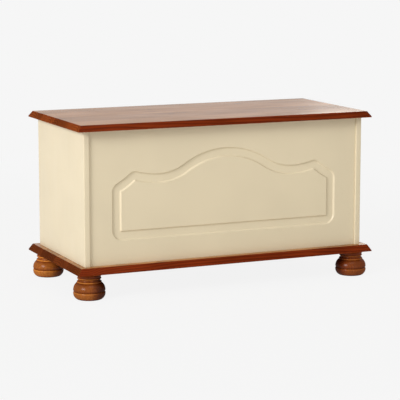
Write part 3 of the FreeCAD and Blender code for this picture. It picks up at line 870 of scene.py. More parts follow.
def sawn_from_log(
    piece, grain, across, heart_across, heart_below, start, tone=1.0, turn=0.0, edge=EDGE_POLISH, wear=0.0,
    end_tone=1.0,
):
    """Writes the log, end_grain, tone, polish and worn attributes on a piece of wood."""
    mesh = piece.data
    along = AXES[grain]
    side = Matrix.Rotation(turn, 3, along) @ AXES[across]
    up = along.cross(side)
    low = Vector([min(v.co[i] for v in mesh.vertices) for i in range(3)])
    high = Vector([max(v.co[i] for v in mesh.vertices) for i in range(3)])
    middle = (low + high) / 2

    def place_in_log(point):
        place = point - middle
        return (place.dot(along) + start, place.dot(side) + heart_across, place.dot(up) + heart_below)

    def end_share(face):
        return abs(face.normal.dot(along))

    def is_top(face):
        return face.normal.z > 0.99

    mark_points(mesh, "log", "FLOAT_VECTOR", place_in_log)
    mark_faces(mesh, "end_grain", end_share)
    mark_faces(mesh, "tone", lambda face: tone * end_tone if end_share(face) > 0.5 else tone)
    mark_faces(mesh, "polish", lambda face: 1.0 if is_top(face) else edge)
    # Up-facing faces are worn paler: partly wear, partly painted light on the top.
    mark_faces(mesh, "worn", lambda face: 1.0 if is_top(face) else wear)
    return piece

# %% [markdown]
# ## The stained boards
# The base and the lid are each glued up from four staves. The eased edges leave a fine
# line at every glue joint, and each stave comes from another part of the log. The end
# grain of the base is darker than that of the lid. Each stave also carries how
# near its glue joints are, so that only its free edges are rubbed pale.

# %% The staves of the base and the lid
STAVE_EASE = 0.2 * MM
staves = {
    # name: (heart across, heart below, start in the log, tone)
    "lid_stave_1": (0.021, 0.052, 0.2, 1.04),
    "lid_stave_2": (-0.034, 0.040, 2.1, 0.92),
    "lid_stave_3": (0.008, 0.061, 4.3, 1.08),
    "lid_stave_4": (-0.015, 0.044, 6.2, 0.98),
    "base_stave_1": (0.030, 0.047, 8.4, 1.02),
    "base_stave_2": (-0.012, 0.058, 10.1, 1.1),
    "base_stave_3": (0.018, 0.043, 12.6, 0.9),
    "base_stave_4": (-0.026, 0.050, 14.3, 1.02),
}
end_tones = {"lid": 0.98, "case": 0.62}
outer_edges = {"lid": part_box("lid_stave_4")[1].y, "case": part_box("base_stave_4")[1].y}
JOINT_REACH = 2.5 * MM


def mark_joints(piece, outer_edge):
    """Writes how near each point is to a glue joint, where no edge is left to rub."""
    ys = [vertex.co.y for vertex in piece.data.vertices]
    sides = [side for side in (min(ys), max(ys)) if abs(side) < outer_edge - MM]

    def nearness(place):
        near = [JOINT_REACH - abs(place.y - side) for side in sides]
        return (near[0], near[-1], 0)

    mark_points(piece.data, "joints", "FLOAT_VECTOR", nearness)


for stave_name, (heart_across, heart_below, start, tone) in staves.items():
    body = "lid" if stave_name.startswith("lid") else "case"
    piece = eased(merged_copy(stave_name, stave_name + "_wood"), STAVE_EASE)
    sawn_from_log(piece, "X", "Y", heart_across, heart_below, start, tone, end_tone=end_tones[body])
    mark_joints(piece, outer_edges[body])
    hand_over(finished(piece, stained_pine), body, "stained_pine", stave_name)
    print(piece.name, len(piece.data.polygons), "faces")

# %% [markdown]
# ## The painted boards
# The end boards and the back are plain boards with small arrises. The end boards stand
# 5 mm proud of the front, which gives the narrow upright strip at each end.

# %% End boards and back
PAINT_EASE = 0.5 * MM
for board_name in ("side_panel_left", "side_panel_right", "back_panel"):
    piece = eased(merged_copy(board_name, board_name + "_paint"), PAINT_EASE, segments=3, turn=40)
    hand_over(finished(piece, cream_paint), "case", "cream_paint", board_name)
    print(piece.name, len(piece.data.polygons), "faces")

# %% [markdown]
# ## The lid's battens
# Two battens of clear-lacquered pine run from front to back under the lid.

# %% Battens
BATTEN_EASE = 0.4 * MM
battens = {
    # name: (heart across, heart below, start in the log)
    "lid_batten_left": (0.02, 0.045, 17.0),
    "lid_batten_right": (-0.01, 0.045, 19.0),
}
for batten_name, log_settings in battens.items():
    piece = eased(merged_copy(batten_name, batten_name + "_wood"), BATTEN_EASE)
    sawn_from_log(piece, "Y", "X", *log_settings)
    hand_over(finished(piece, plain_pine), "lid", "plain_pine", batten_name)
    print(piece.name, len(piece.data.polygons), "faces")

# %% [markdown]
# ## Shapes that follow a rule
# A foot, a dowel, a bolt and a screw are all turned: one outline carried round an axis.
# A lathe tree does this once for all of them. It lays out a grid with one row for each
# point of the outline and one column for each step round, then bends the grid round the
# axis. Flutes and a thread are small changes of the radius, so they cost no extra mesh
# tricks. Modelling each by hand would repeat the same work, and the outline would be
# lost in the vertices.

# %% Run a shape tree
GEOMETRY_TREE = "GeometryNodeTree"
GEOMETRY, OBJECT, INTEGER = "NodeSocketGeometry", "NodeSocketObject", "NodeSocketInt"
MATERIAL = "NodeSocketMaterial"


def grown(piece, tree, **values):
    """Runs a shape tree on a piece with these inputs and keeps the plain mesh."""
    modifier = piece.modifiers.new(tree.name, "NODES")
    modifier.node_group = tree
    named = {item.name: item.identifier for item in tree.interface.items_tree if item.in_out == "INPUT"}
    for label, value in values.items():
        modifier[named[label.replace("_", " ")]] = value
    return settled(piece)


def coated_in(tree, geometry, finish, result):
    """Ends a tree: copies become real mesh and take their material."""
    real = node(tree, "GeometryNodeRealizeInstances", {0: geometry}).outputs[0]
    coated = node(tree, "GeometryNodeSetMaterial", {"Geometry": real, "Material": finish}).outputs[0]
    tree.links.new(coated, result.inputs[0])


def chain(name, points):
    """An outline for a tree to read: points joined in a row."""
    mesh = bpy.data.meshes.new(name)
    mesh.from_pydata(points, [(i, i + 1) for i in range(len(points) - 1)], [])
    return new_object(name, mesh)

# %% [markdown]
# The lathe counts its grid in rows and columns: the row picks a point of the outline,
# the column gives the angle. A thread is a groove whose depth follows the height and the
# angle together, so it climbs by one pitch in each turn.

# %% The lathe
def flutes_and_thread(tree, put, height, turn, angle):
    """How much flutes and thread take off the radius, between two heights."""
    above = calc(tree, "GREATER_THAN", height, put["Cut from"])
    below = calc(tree, "LESS_THAN", height, put["Cut to"])
    wave = calc(tree, "COSINE", product(tree, angle, put["Flutes"]))
    flute = product(tree, calc(tree, "MAXIMUM", wave, 0.0), put["Flute depth"])
    climb = calc(tree, "SUBTRACT", calc(tree, "DIVIDE", height, put["Thread pitch"]), turn)
    groove = product(tree, calc(tree, "PINGPONG", climb, 0.5), put["Thread depth"], 2.0)
    return product(tree, calc(tree, "ADD", flute, groove), above, below)


def lathe_tree():
    tree, given, result = open_group(
        "lathe",
        GEOMETRY_TREE,
        [
            ("Geometry", GEOMETRY, None),
            ("Outline", OBJECT, None),
            ("Steps round", INTEGER, 64),
            ("Flutes", INTEGER, 0),
            ("Flute depth", FLOAT, 0.0),
            ("Thread depth", FLOAT, 0.0),
            ("Thread pitch", FLOAT, 0.002),
            ("Cut from", FLOAT, 0.0),
            ("Cut to", FLOAT, 0.0),
            ("Centre", VECTOR, None),
            ("Finish", MATERIAL, None),
        ],
        [("Geometry", GEOMETRY)],
    )
    put = given.outputs
    outline = node(tree, "GeometryNodeObjectInfo", {"Object": put["Outline"]}).outputs["Geometry"]
    rows = node(tree, "GeometryNodeAttributeDomainSize", {0: outline}).outputs["Point Count"]
    columns = calc(tree, "ADD", put["Steps round"], 1)
    grid = node(tree, "GeometryNodeMeshGrid", {"Vertices X": rows, "Vertices Y": columns}).outputs["Mesh"]
    index = node(tree, "GeometryNodeInputIndex").outputs[0]
    row = calc(tree, "FLOOR", calc(tree, "DIVIDE", calc(tree, "ADD", index, 0.5), columns))
    column = calc(tree, "SUBTRACT", index, product(tree, row, columns))
    point = node(
        tree,
        "GeometryNodeSampleIndex",
        {"Geometry": outline, "Value": node(tree, "GeometryNodeInputPosition").outputs[0], "Index": row},
        data_type="FLOAT_VECTOR",
        domain="POINT",
    ).outputs[0]
    radius, _, height = node(tree, "ShaderNodeSeparateXYZ", {0: point}).outputs
    turn = calc(tree, "DIVIDE", column, put["Steps round"])
    angle = product(tree, turn, 2 * math.pi)
    taken = flutes_and_thread(tree, put, height, turn, angle)
    radius = calc(tree, "MAXIMUM", calc(tree, "SUBTRACT", radius, taken), 0.0)
    sideways = product(tree, radius, calc(tree, "COSINE", angle))
    backwards = product(tree, radius, calc(tree, "SINE", angle))
    bent = node(tree, "ShaderNodeCombineXYZ", {0: sideways, 1: backwards, 2: height}).outputs[0]
    moved = vector_calc(tree, "ADD", bent, put["Centre"])
    shaped = node(tree, "GeometryNodeSetPosition", {"Geometry": grid, "Position": moved}).outputs[0]
    closed = node(tree, "GeometryNodeMergeByDistance", {"Geometry": shaped, "Distance": MERGE_WITHIN})
    coated_in(tree, closed.outputs[0], put["Finish"], result)
    return tree


lathe = lathe_tree()
print("the lathe has", len(lathe.nodes), "nodes")

# %% [markdown]
# To turn something, its outline is laid out as a chain of points, the lathe runs on it,
# and the chain is put away again.

# %% Put a piece on the lathe
def outward(piece):
    """Turns every face of a closed piece outwards."""
    builder = bmesh.new()
    builder.from_mesh(piece.data)
    bmesh.ops.recalc_face_normals(builder, faces=builder.faces)
    builder.to_mesh(piece.data)
    builder.free()
    return piece


def turned(name, outline, **values):
    """A solid of revolution from (radius, height) points, listed from pole to pole."""
    guide = chain(name + "_outline", [(radius, 0, height) for radius, height in outline])
    piece = grown(new_object(name, bpy.data.meshes.new(name)), lathe, Outline=guide, **values)
    bpy.data.objects.remove(guide)
    return smooth_curves(outward(piece))

# %% [markdown]
# ## The turned feet
# Each foot is a flattened ball with a crisp notch round its belly, two beads with a
# hollow between them above it, and a cove that spreads to the base. The list below reads
# like a turner's marking stick: for each step up the foot, the radius it ends at, its
# height and how far its line bows out. The outline dips into the bolt hole at the top, so
# the hole is part of the same turning.

# %% The foot's outline
foot_floor_radius = 33.0 * MM
foot_arris_width = 1.2 * MM
foot_arris_height = 0.6 * MM
foot_turning = {
    "lower bulge": (41.2, 16.5, 2.4),
    "into the notch": (38.8, 3.5, 0.5),
    "out of the notch": (41.0, 5.5, 0.9),
    "shoulder": (31.0, 17.5, 2.3),
    "lower bead": (30.2, 3.6, 1.1),
    "hollow": (29.8, 5.8, -1.9),
    "upper bead": (30.0, 2.8, 0.9),
    "quirk": (29.4, 0.8, 0.0),
    "cove": (38.5, 10.5, -2.2),
}
ARC_STEP = 0.7 * MM
bolt_hole_radius = 4.05 * MM
bolt_hole_depth = 34.5 * MM


def arc_through(start, end, bow):
    """Points after start up to end on a circular arc that bows to the right."""
    chord = end - start
    if abs(bow) < 1e-7:
        return [end]
    right = Vector((chord.y, -chord.x)).normalized()
    half = chord.length / 2
    radius = (half * half + bow * bow) / (2 * bow)
    centre = (start + end) / 2 + right * (bow - radius)
    sweep = 2 * math.asin(half / abs(radius)) * (1 if bow > 0 else -1)
    steps = max(3, round(abs(sweep * radius) / ARC_STEP))
    arm = start - centre
    return [centre + Matrix.Rotation(sweep * i / steps, 2) @ arm for i in range(1, steps + 1)]


def foot_outline():
    """The outline of a foot from its middle on the floor to the bottom of its bolt hole."""
    points = [
        Vector((0, 0)),
        Vector((foot_floor_radius - foot_arris_width, 0)),
        Vector((foot_floor_radius, foot_arris_height)),
    ]
    height = 0.0
    for radius, rise, bow in foot_turning.values():
        height += rise * MM
        points += arc_through(points[-1], Vector((radius * MM, height)), bow * MM)
    points += [Vector((bolt_hole_radius, height)), Vector((bolt_hole_radius, height - bolt_hole_depth))]
    return points + [Vector((0, height - bolt_hole_depth))]


outline_of_foot = foot_outline()
print("the foot's outline has", len(outline_of_foot), "points")

# %% [markdown]
# The blank of a foot is two pieces of pine glued side by side. The turning cuts through
# both, so the figure changes at the glue line, which stands upright somewhere off the
# middle, and the foot is painted darker as shade past it. The quirk, the cove under the
# base and the step out of the notch are painted darker as shade. The beads and the lip of
# the notch are paler, partly as wear where hands and shoes rub and partly as painted
# highlight.

# %% Turn the feet
feet = {
    # name: (heart across, heart below, start in the log, tone, turn of the blank, wear,
    #        which way the glue line faces in degrees, which also sets the side painted in shade,
    #        how far off the middle it lies in mm)
    "foot_front_left": (0.02, 0.055, 21.0, 1.0, 0.4, 1.0, -20, 8.0),
    "foot_front_right": (-0.03, 0.05, 23.3, 1.05, 1.7, 0.55, 160, 14.0),
    "foot_back_left": (0.01, 0.06, 25.9, 1.3, 2.9, 1.3, -20, 14.0),
    "foot_back_right": (-0.02, 0.05, 28.1, 0.95, 4.1, 0.8, 70, 15.0),
}
step_tone_and_light = {
    #     step of the turning: (how much paler, with painted highlight and shade, how far rubbed back)
    "lower bulge": (1.0, 0.6),
    "into the notch": (1.2, 0.8),
    "out of the notch": (0.85, 0.3),
    "shoulder": (0.95, 0.42),
    "lower bead": (1.4, 0.9),
    "hollow": (0.95, 0.35),
    "upper bead": (1.3, 0.8),
    "quirk": (0.6, 0.0),
    "cove": (0.9, 0.15),
}


def glued_blank(piece, centre, glue_turn, offset):
    """Marks how far each point of a turning lies past the glue line of its blank."""
    facing = Vector((math.cos(glue_turn), math.sin(glue_turn), 0))
    mark_points(
        piece.data, "glue", "FLOAT", lambda point: (point - centre).dot(facing) - offset + GLUE_LINE
    )


def stain_and_light_by_step(piece, wear):
    """Gives each face the tone, with painted highlight and shade, and the wear of the step of the turning
    that it is on.
    """
    tops = []
    height = 0.0
    for step, (radius, rise, bow) in foot_turning.items():
        height += rise * MM
        tops.append((height, step))
    tones, worn = piece.data.attributes["tone"], piece.data.attributes["worn"]
    for face in piece.data.polygons:
        step = next((step for top, step in tops if face.center.z < top), "cove")
        tone_with_light, rubbed = step_tone_and_light[step]
        # Paler steps that face up are painted highlight; the quirk and the steps that face down are painted
        # shade.
        tones.data[face.index].value *= tone_with_light
        worn.data[face.index].value = min(1.0, rubbed * wear)


for foot_name, settings in feet.items():
    heart_across, heart_below, start, tone, blank_turn, wear, glue_turn, glue_offset = settings
    low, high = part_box(foot_name)
    centre = Vector(((low.x + high.x) / 2, (low.y + high.y) / 2, 0))
    piece = turned(
        foot_name + "_turning", outline_of_foot, Steps_round=96, Centre=centre, Finish=turned_pine
    )
    sawn_from_log(piece, "Z", "X", heart_across, heart_below, start, tone, blank_turn, edge=1.0)
    glued_blank(piece, centre, math.radians(glue_turn), glue_offset * MM)
    stain_and_light_by_step(piece, wear)
    hand_over(piece, "case", "turned_pine", foot_name)
    print(piece.name, len(piece.data.polygons), "faces")

# %% [markdown]
# ## The routed front
# A router with a flat-bottomed bit follows a template: up from a square foot, over a
# sloping shoulder to a pointed tip, down into a dip and up to a round arch. So the
# groove is a section that follows a path, which is what Curve to Mesh does. The path is
# the middle of the groove; the rest of the board is then filled in round the groove.

# %% The path of the router
field_side_margin = 87.0 * MM
field_bottom_margin = 86.0 * MM
field_top_margin = 86.5 * MM
shoulder_drop = 73.5 * MM
shoulder_bow = -1.2 * MM
tip_inset = 38.5 * MM
tip_rise = 9.5 * MM
dip_inset = 66.0 * MM
dip_drop = 57.0 * MM
dip_radius = 150.0 * MM
field_corner_radius = 1.0 * MM
groove_width = 25.5 * MM
groove_wall = 3.5 * MM
groove_depth = 4.0 * MM
groove_lip = 0.8 * MM
groove_rounding = 1.0 * MM
ROUTE_STEP = 3.0 * MM
CORNER_TURN = math.radians(12)
print("field:", round(2 * (case_high.x - field_side_margin), 3), "m wide")

# %% [markdown]
# Two small tools draw the line: one walks along an arc about a centre, the other rounds
# the corners where two stretches meet.

# %% Arcs and soft corners
def arc_points(centre, start, end, step):
    """Points after start up to end along the shorter arc about a centre."""
    first, last = start - centre, end - centre
    sweep = first.angle_signed(last) * -1
    steps = max(2, round(abs(sweep) * first.length / step))
    return [centre + Matrix.Rotation(sweep * i / steps, 2) @ first for i in range(1, steps + 1)]


def rounded(points, radius, closed, steps=8):
    """The same line with each corner of more than CORNER_TURN made an arc."""
    made = []
    for index, point in enumerate(points):
        if not closed and index in (0, len(points) - 1):
            made.append(point)
            continue
        before = (point - points[index - 1]).normalized()
        after = (points[(index + 1) % len(points)] - point).normalized()
        turn = -before.angle_signed(after)
        if abs(turn) < CORNER_TURN:
            made.append(point)
            continue
        reach = radius * math.tan(abs(turn) / 2)
        side = Vector((-before.y, before.x)) * (1 if turn > 0 else -1)
        centre = point - before * reach + side * radius
        arm = point - before * reach - centre
        made += [centre + Matrix.Rotation(turn * i / steps, 2) @ arm for i in range(steps + 1)]
    return made

# %% [markdown]
# Half of the outline is worked out and then mirrored. The arch and the dip are arcs that
# meet without a corner, so the radius of the arch follows from the other measures.

# %% The outline of the field
def field_outline():
    """The raised field's outline, anticlockwise as seen from the front; y is up."""
    half_width = case_high.x - field_side_margin
    bottom = case_low.z + field_bottom_margin
    apex = case_high.z - field_top_margin
    tip_x = half_width - tip_inset
    dip_x = tip_x - dip_inset
    dip_z = apex - dip_drop
    lift = dip_z + dip_radius - apex
    arch_radius = (dip_x**2 + lift**2 - dip_radius**2) / (2 * (dip_radius - lift))
    arch_centre = Vector((0, apex - arch_radius))
    dip_centre = Vector((dip_x, dip_z + dip_radius))
    join = arch_centre + (dip_centre - arch_centre).normalized() * arch_radius
    rise_radius = (dip_inset**2 + tip_rise**2) / (2 * tip_rise)
    foot_corner, shoulder = Vector((half_width, bottom)), Vector((half_width, apex - shoulder_drop))
    tip, dip, top = Vector((tip_x, dip_z + tip_rise)), Vector((dip_x, dip_z)), Vector((0, apex))
    right = [foot_corner, shoulder]
    right += arc_through(shoulder, tip, shoulder_bow)
    right += arc_points(Vector((dip_x, dip_z + rise_radius)), tip, dip, ROUTE_STEP)
    right += arc_points(dip_centre, dip, join, ROUTE_STEP)
    right += arc_points(arch_centre, join, top, ROUTE_STEP)
    left = [Vector((-point.x, point.y)) for point in reversed(right[:-1])]
    return right + left


def moved_outwards(points, distance):
    """Each point of a closed anticlockwise line moved to its right."""
    made = []
    for index, point in enumerate(points):
        before = (point - points[index - 1]).normalized()
        after = (points[(index + 1) % len(points)] - point).normalized()
        along = (before + after).normalized()
        made.append(point + Vector((along.y, -along.x)) * distance)
    return made


def curve_object(name, points, closed):
    """A curve of straight runs for a tree to read."""
    curve = bpy.data.curves.new(name, "CURVE")
    curve.dimensions = "3D"
    spline = curve.splines.new("POLY")
    spline.points.add(len(points) - 1)
    for index, point in enumerate(points):
        spline.points[index].co = (point.x, point.y, 0, 1)
    spline.use_cyclic_u = closed
    return new_object(name, curve)


field_line = rounded(field_outline(), field_corner_radius, closed=True)
groove_path = curve_object("groove_path", moved_outwards(field_line, groove_width / 2), closed=True)
print("the router's path has", len(field_line), "points")

# %% [markdown]
# The bit leaves two sloping walls and a flat floor, all with soft corners. The tree runs
# this section round the path, stands the result upright and brings it to the front face.

# %% Rout the groove
half_groove = groove_width / 2
section_corners = [
    Vector((-half_groove - groove_lip, 0)),
    Vector((-half_groove, 0)),
    Vector((-half_groove + groove_wall, groove_depth)),
    Vector((half_groove - groove_wall, groove_depth)),
    Vector((half_groove, 0)),
    Vector((half_groove + groove_lip, 0)),
]
section_points = rounded(section_corners, groove_rounding, closed=False, steps=5)
groove_section = curve_object("groove_section", section_points, closed=False)


def routed_tree():
    tree, given, result = open_group(
        "routed_groove",
        GEOMETRY_TREE,
        [
            ("Geometry", GEOMETRY, None),
            ("Path", OBJECT, None),
            ("Section", OBJECT, None),
            ("Front face", FLOAT, 0.0),
            ("Finish", MATERIAL, None),
        ],
        [("Geometry", GEOMETRY)],
    )
    path = node(tree, "GeometryNodeObjectInfo", {"Object": given.outputs["Path"]}).outputs["Geometry"]
    section = node(tree, "GeometryNodeObjectInfo", {"Object": given.outputs["Section"]}).outputs["Geometry"]
    groove = node(tree, "GeometryNodeCurveToMesh", {"Curve": path, "Profile Curve": section}).outputs[0]
    face_place = node(tree, "ShaderNodeCombineXYZ", {1: given.outputs["Front face"]}).outputs[0]
    upright = node(
        tree,
        "GeometryNodeTransform",
        {"Geometry": groove, "Translation": face_place, "Rotation": (math.pi / 2, 0, 0)},
    ).outputs[0]
    coated_in(tree, upright, given.outputs["Finish"], result)
    return tree


groove = grown(
    new_object("groove", bpy.data.meshes.new("groove")),
    routed_tree(),
    Path=groove_path,
    Section=groove_section,
    Front_face=case_low.y,
    Finish=cream_paint,
)
print("groove:", len(groove.data.vertices), "points,", len(groove.data.polygons), "faces")

# %% [markdown]
# The groove's two rims are then joined to the board: the inner one by the field, the
# outer one by the face round it, and four edges and a back close the board.

# %% The board round the groove
def board_round_groove(groove_mesh, low, high, section_count):
    """A board whose front face takes in a ready-made ring of groove."""
    builder = bmesh.new()
    builder.from_mesh(groove_mesh)
    builder.verts.ensure_lookup_table()
    rings = len(builder.verts) // section_count
    inner = [builder.verts[i * section_count] for i in range(rings)]
    builder.faces.new(inner)
    outer = [builder.verts[i * section_count + section_count - 1] for i in range(rings)]
    outer_edges = [builder.edges.get((outer[i - 1], outer[i])) for i in range(rings)]
    corners = [(low.x, low.z), (high.x, low.z), (high.x, high.z), (low.x, high.z)]
    frame_corners = [builder.verts.new((x, low.y, z)) for x, z in corners]
    frame_edges = [builder.edges.new((frame_corners[i - 1], frame_corners[i])) for i in range(4)]
    bmesh.ops.triangle_fill(builder, edges=outer_edges + frame_edges, use_beauty=True, normal=(0, -1, 0))
    pushed = bmesh.ops.extrude_edge_only(builder, edges=frame_edges)["geom"]
    back_corners = [part for part in pushed if isinstance(part, bmesh.types.BMVert)]
    bmesh.ops.translate(builder, verts=back_corners, vec=(0, high.y - low.y, 0))
    back_edges = [edge for edge in pushed if isinstance(edge, bmesh.types.BMEdge)]
    bmesh.ops.contextual_create(builder, geom=back_edges)
    return outward_mesh("front_panel_paint", builder)


front = new_object(
    "front_panel_paint", board_round_groove(groove.data, case_low, case_high, len(section_points))
)
for guide in (groove, groove_path, groove_section):
    bpy.data.objects.remove(guide)
print("board and groove:", len(front.data.polygons), "faces")

# %% [markdown]
# Dowels, cam bolts, cams and screws all enter the back and the edges of this board. Their
# own solids, a hair fatter, cut the holes, so every hole meets its fastener.

# %% Bore the front board
BORE_ROOM = 0.05 * MM


def cut_away(piece, cutter):
    """Cuts a closed helper shape out of a piece."""
    cut = piece.modifiers.new("cut", "BOOLEAN")
    cut.object = cutter
    cut.solver = "EXACT"
    settled(piece)
    bpy.data.objects.remove(cutter)
    return piece


def bored(piece, fasteners, room):
    """Cuts the fasteners' own shapes, a hair fatter, out of a piece in one go."""
    builder = bmesh.new()
    for fastener in fasteners:
        shape = merged_copy(fastener, "shape")
        builder.from_mesh(shape.data)
        bpy.data.objects.remove(shape)
    cutter = new_object("cutter", as_mesh("cutter", builder))
    swell = cutter.modifiers.new("room", "DISPLACE")
    swell.strength = room
    swell.mid_level = 0.0
    return cut_away(piece, cutter)


bored(front, ("cam_locks", "cam_bolts", "corner_dowels", "base_dowels", "base_screws"), BORE_ROOM)
hand_over(finished(smooth_curves(front), cream_paint), "case", "cream_paint", "front_panel")
print("front_panel_paint:", len(front.data.polygons), "faces")

# %% [markdown]
# ## Hinges and stays
# The hinges are rolled and pressed sheet, the stays are stamped strip. Their shapes are
# ready; a small bevel gives them the rounded, tumbled edges that such parts have.

# %% Hinges, stays and pivots
fittings = {
    "hinge_case_leaf": ("case", "brassed_steel", brassed_steel, 0.15),
    "hinge_lid_leaf": ("lid", "brassed_steel", brassed_steel, 0.15),
    "hinge_pin": ("case", "brassed_steel", brassed_steel, 0.15),
    "stay_stud": ("case", "zinc_steel", zinc_steel, 0.2),
    "stay_bracket": ("lid", "zinc_steel", zinc_steel, 0.25),
    "stay_rivet": ("lid", "zinc_steel", zinc_steel, 0.1),
    "stay_arm": ("stay_arm", "zinc_steel", zinc_steel, 0.25),
}
for family, (body, slot, finish, ease) in fittings.items():
    for side in ("left", "right"):
        fitting_name = f"{family}_{side}"
        piece = eased(merged_copy(fitting_name, fitting_name + "_plated"), ease * MM)
        rides = f"{body}_{side}" if body == "stay_arm" else body
        hand_over(finished(piece, finish), rides, slot, fitting_name)
        print(piece.name, len(piece.data.polygons), "faces")

# %% [markdown]
# ## Fasteners
# A chest like this holds more fasteners than boards, and most of one kind are alike. So
# each kind is turned once on the lathe and then set out by a shape tree: it puts a copy
# at every place, points it the way it is driven, and gives it a chance turn, because no
# two screws stop with their slots in line. Where each one goes is read from the
# construction: every separate solid of a node gives a start and a direction. The solids
# are listed in order of place, so that every run deals out the same chance turns.

# %% Where the fasteners go
def solids_of(node_name):
    """The lowest and highest corners of each separate solid of a node, in order of place."""
    shape = merged_copy(node_name, "shape")
    builder = bmesh.new()
    builder.from_mesh(shape.data)
    bpy.data.objects.remove(shape)
    waiting = set(builder.verts)
    boxes = []
    while waiting:
        found, edge_of_search = set(), {waiting.pop()}
        while edge_of_search:
            found |= edge_of_search
            reached = {edge.other_vert(vert) for vert in edge_of_search for edge in vert.link_edges}
            edge_of_search = reached - found
        waiting -= found
        low = Vector([min(vert.co[i] for vert in found) for i in range(3)])
        high = Vector([max(vert.co[i] for vert in found) for i in range(3)])
        boxes.append((low, high))
    builder.free()
    return sorted(boxes, key=lambda box: box[0][:])


def places_of(node_name, aim_of):
    """A helper mesh with a point where each fastener starts, and the length of one."""
    starts, aims = [], []
    for low, high in solids_of(node_name):
        middle, size = (low + high) / 2, high - low
        aim = aim_of(middle)
        length = abs(size.dot(aim))
        starts.append(middle - aim * length / 2)
        aims.append(aim)
    mesh = bpy.data.meshes.new(node_name + "_places")
    mesh.from_pydata(starts, [], [])
    way = mesh.attributes.new("aim", "FLOAT_VECTOR", "POINT")
    for index, aim in enumerate(aims):
        way.data[index].vector = aim
    return new_object(node_name + "_places", mesh), length

# %% [markdown]
# A fastener is driven in a direction that depends on which side of the chest it is on,
# so each direction is a small function of the place.

# %% The ways a fastener points
def up(middle):
    return Vector((0, 0, 1))


def down(middle):
    return Vector((0, 0, -1))


def outwards(middle):
    return Vector((math.copysign(1, middle.x), 0, 0))


def inwards(middle):
    return -outwards(middle)


def into_long_board(middle):
    return Vector((0, math.copysign(1, middle.y), 0))

# %% [markdown]
# The tree that sets them out turns each copy to its direction first, and then about its
# own axis by a chance angle from a fixed seed.

# %% Set copies out and drive them in
def driven_in_tree():
    tree, given, result = open_group(
        "driven_in",
        GEOMETRY_TREE,
        [
            ("Geometry", GEOMETRY, None),
            ("Places", OBJECT, None),
            ("Shape", OBJECT, None),
            ("Chance", INTEGER, 1),
            ("Finish", MATERIAL, None),
        ],
        [("Geometry", GEOMETRY)],
    )
    put = given.outputs
    places = node(tree, "GeometryNodeObjectInfo", {"Object": put["Places"]}).outputs["Geometry"]
    shape = node(tree, "GeometryNodeObjectInfo", {"Object": put["Shape"]}).outputs["Geometry"]
    aim = node(tree, "GeometryNodeInputNamedAttribute", {"Name": "aim"}, data_type="FLOAT_VECTOR").outputs[0]
    pointed = node(tree, "FunctionNodeAlignRotationToVector", {"Vector": aim}, axis="Z").outputs[0]
    chance = node(tree, "FunctionNodeRandomValue", {"Seed": put["Chance"]}, data_type="FLOAT")
    angle = product(tree, chance.outputs["Value"], 2 * math.pi)
    spin = node(tree, "FunctionNodeAxisAngleToRotation", {"Axis": (0, 0, 1), "Angle": angle}).outputs[0]
    turned_round = node(
        tree,
        "FunctionNodeRotateRotation",
        {"Rotation": pointed, "Rotate By": spin},
        rotation_space="LOCAL",
    ).outputs[0]
    copies = node(
        tree,
        "GeometryNodeInstanceOnPoints",
        {"Points": places, "Instance": shape, "Rotation": turned_round},
    ).outputs[0]
    coated_in(tree, copies, put["Finish"], result)
    return tree


driven_in = driven_in_tree()
print("the tree that drives them in has", len(driven_in.nodes), "nodes")


def set_out(node_name, places, shape, finish, chance):
    """One piece with a copy of a shape at every place of a node's fasteners."""
    empty = new_object(node_name + "_made", bpy.data.meshes.new(node_name + "_made"))
    piece = grown(empty, driven_in, Places=places, Shape=shape, Chance=chance, Finish=finish)
    for helper in (places, shape):
        bpy.data.objects.remove(helper)
    print(piece.name, len(piece.data.polygons), "faces")
    return smooth_curves(piece)

# %% [markdown]
# The lathe can only cut a thread where its outline has points, so long straight runs get
# more of them. The cross for the driver is a tapered punch, pressed into the head.

# %% More points, and a punch
def stepped(points, step):
    """The same outline with more points, so that no stretch is longer than the step."""
    made = [points[0]]
    for start, end in zip(points, points[1:]):
        pieces = max(1, math.ceil(abs(end[1] - start[1]) / step))
        for i in range(1, pieces + 1):
            share = i / pieces
            made.append((start[0] + (end[0] - start[0]) * share, start[1] + (end[1] - start[1]) * share))
    return made


def cross_punch(reach, width, depth):
    """A tapered cross that starts above a face at height 0 and ends at the depth."""
    builder = bmesh.new()
    rings = []
    # Each end of the punch: its share of the reach, and its height.
    top, bottom = (1.05, -0.1 * depth), (0.45, depth)
    for share, height in (top, bottom):
        long, half = reach * share, width / 2 * (0.4 + 0.6 * share)
        quarter = [(long, -half), (long, half), (half, half)]
        ring = []
        for i in range(4):
            turn = Matrix.Rotation(i * math.pi / 2, 2)
            ring += [builder.verts.new((*(turn @ Vector(corner)), height)) for corner in quarter]
        rings.append(ring)
    for i in range(len(rings[0])):
        builder.faces.new((rings[0][i - 1], rings[0][i], rings[1][i], rings[1][i - 1]))
    builder.faces.new(rings[0])
    builder.faces.new(rings[1])
    return new_object("punch", outward_mesh("punch", builder))

# %% [markdown]
# A wood screw has a cone of a head that pulls down flush, a thread that leaves a narrow
# core, and a cross that a driver fits. All its small measures go with the radius of the
# shank or of the head, so one function makes every size.

# %% Wood screws
screw_point = 3.0 * MM
head_arris = 0.12 * MM
# Shares of the screw's radius:
THREAD_DEPTH = 0.3
THREAD_PITCH = 0.9
THREAD_START = 0.5
POINT_RADIUS = 0.4
# Shares of the head's radius:
CROSS_REACH = 0.55
CROSS_WIDTH = 0.3
CROSS_DEPTH = 0.45


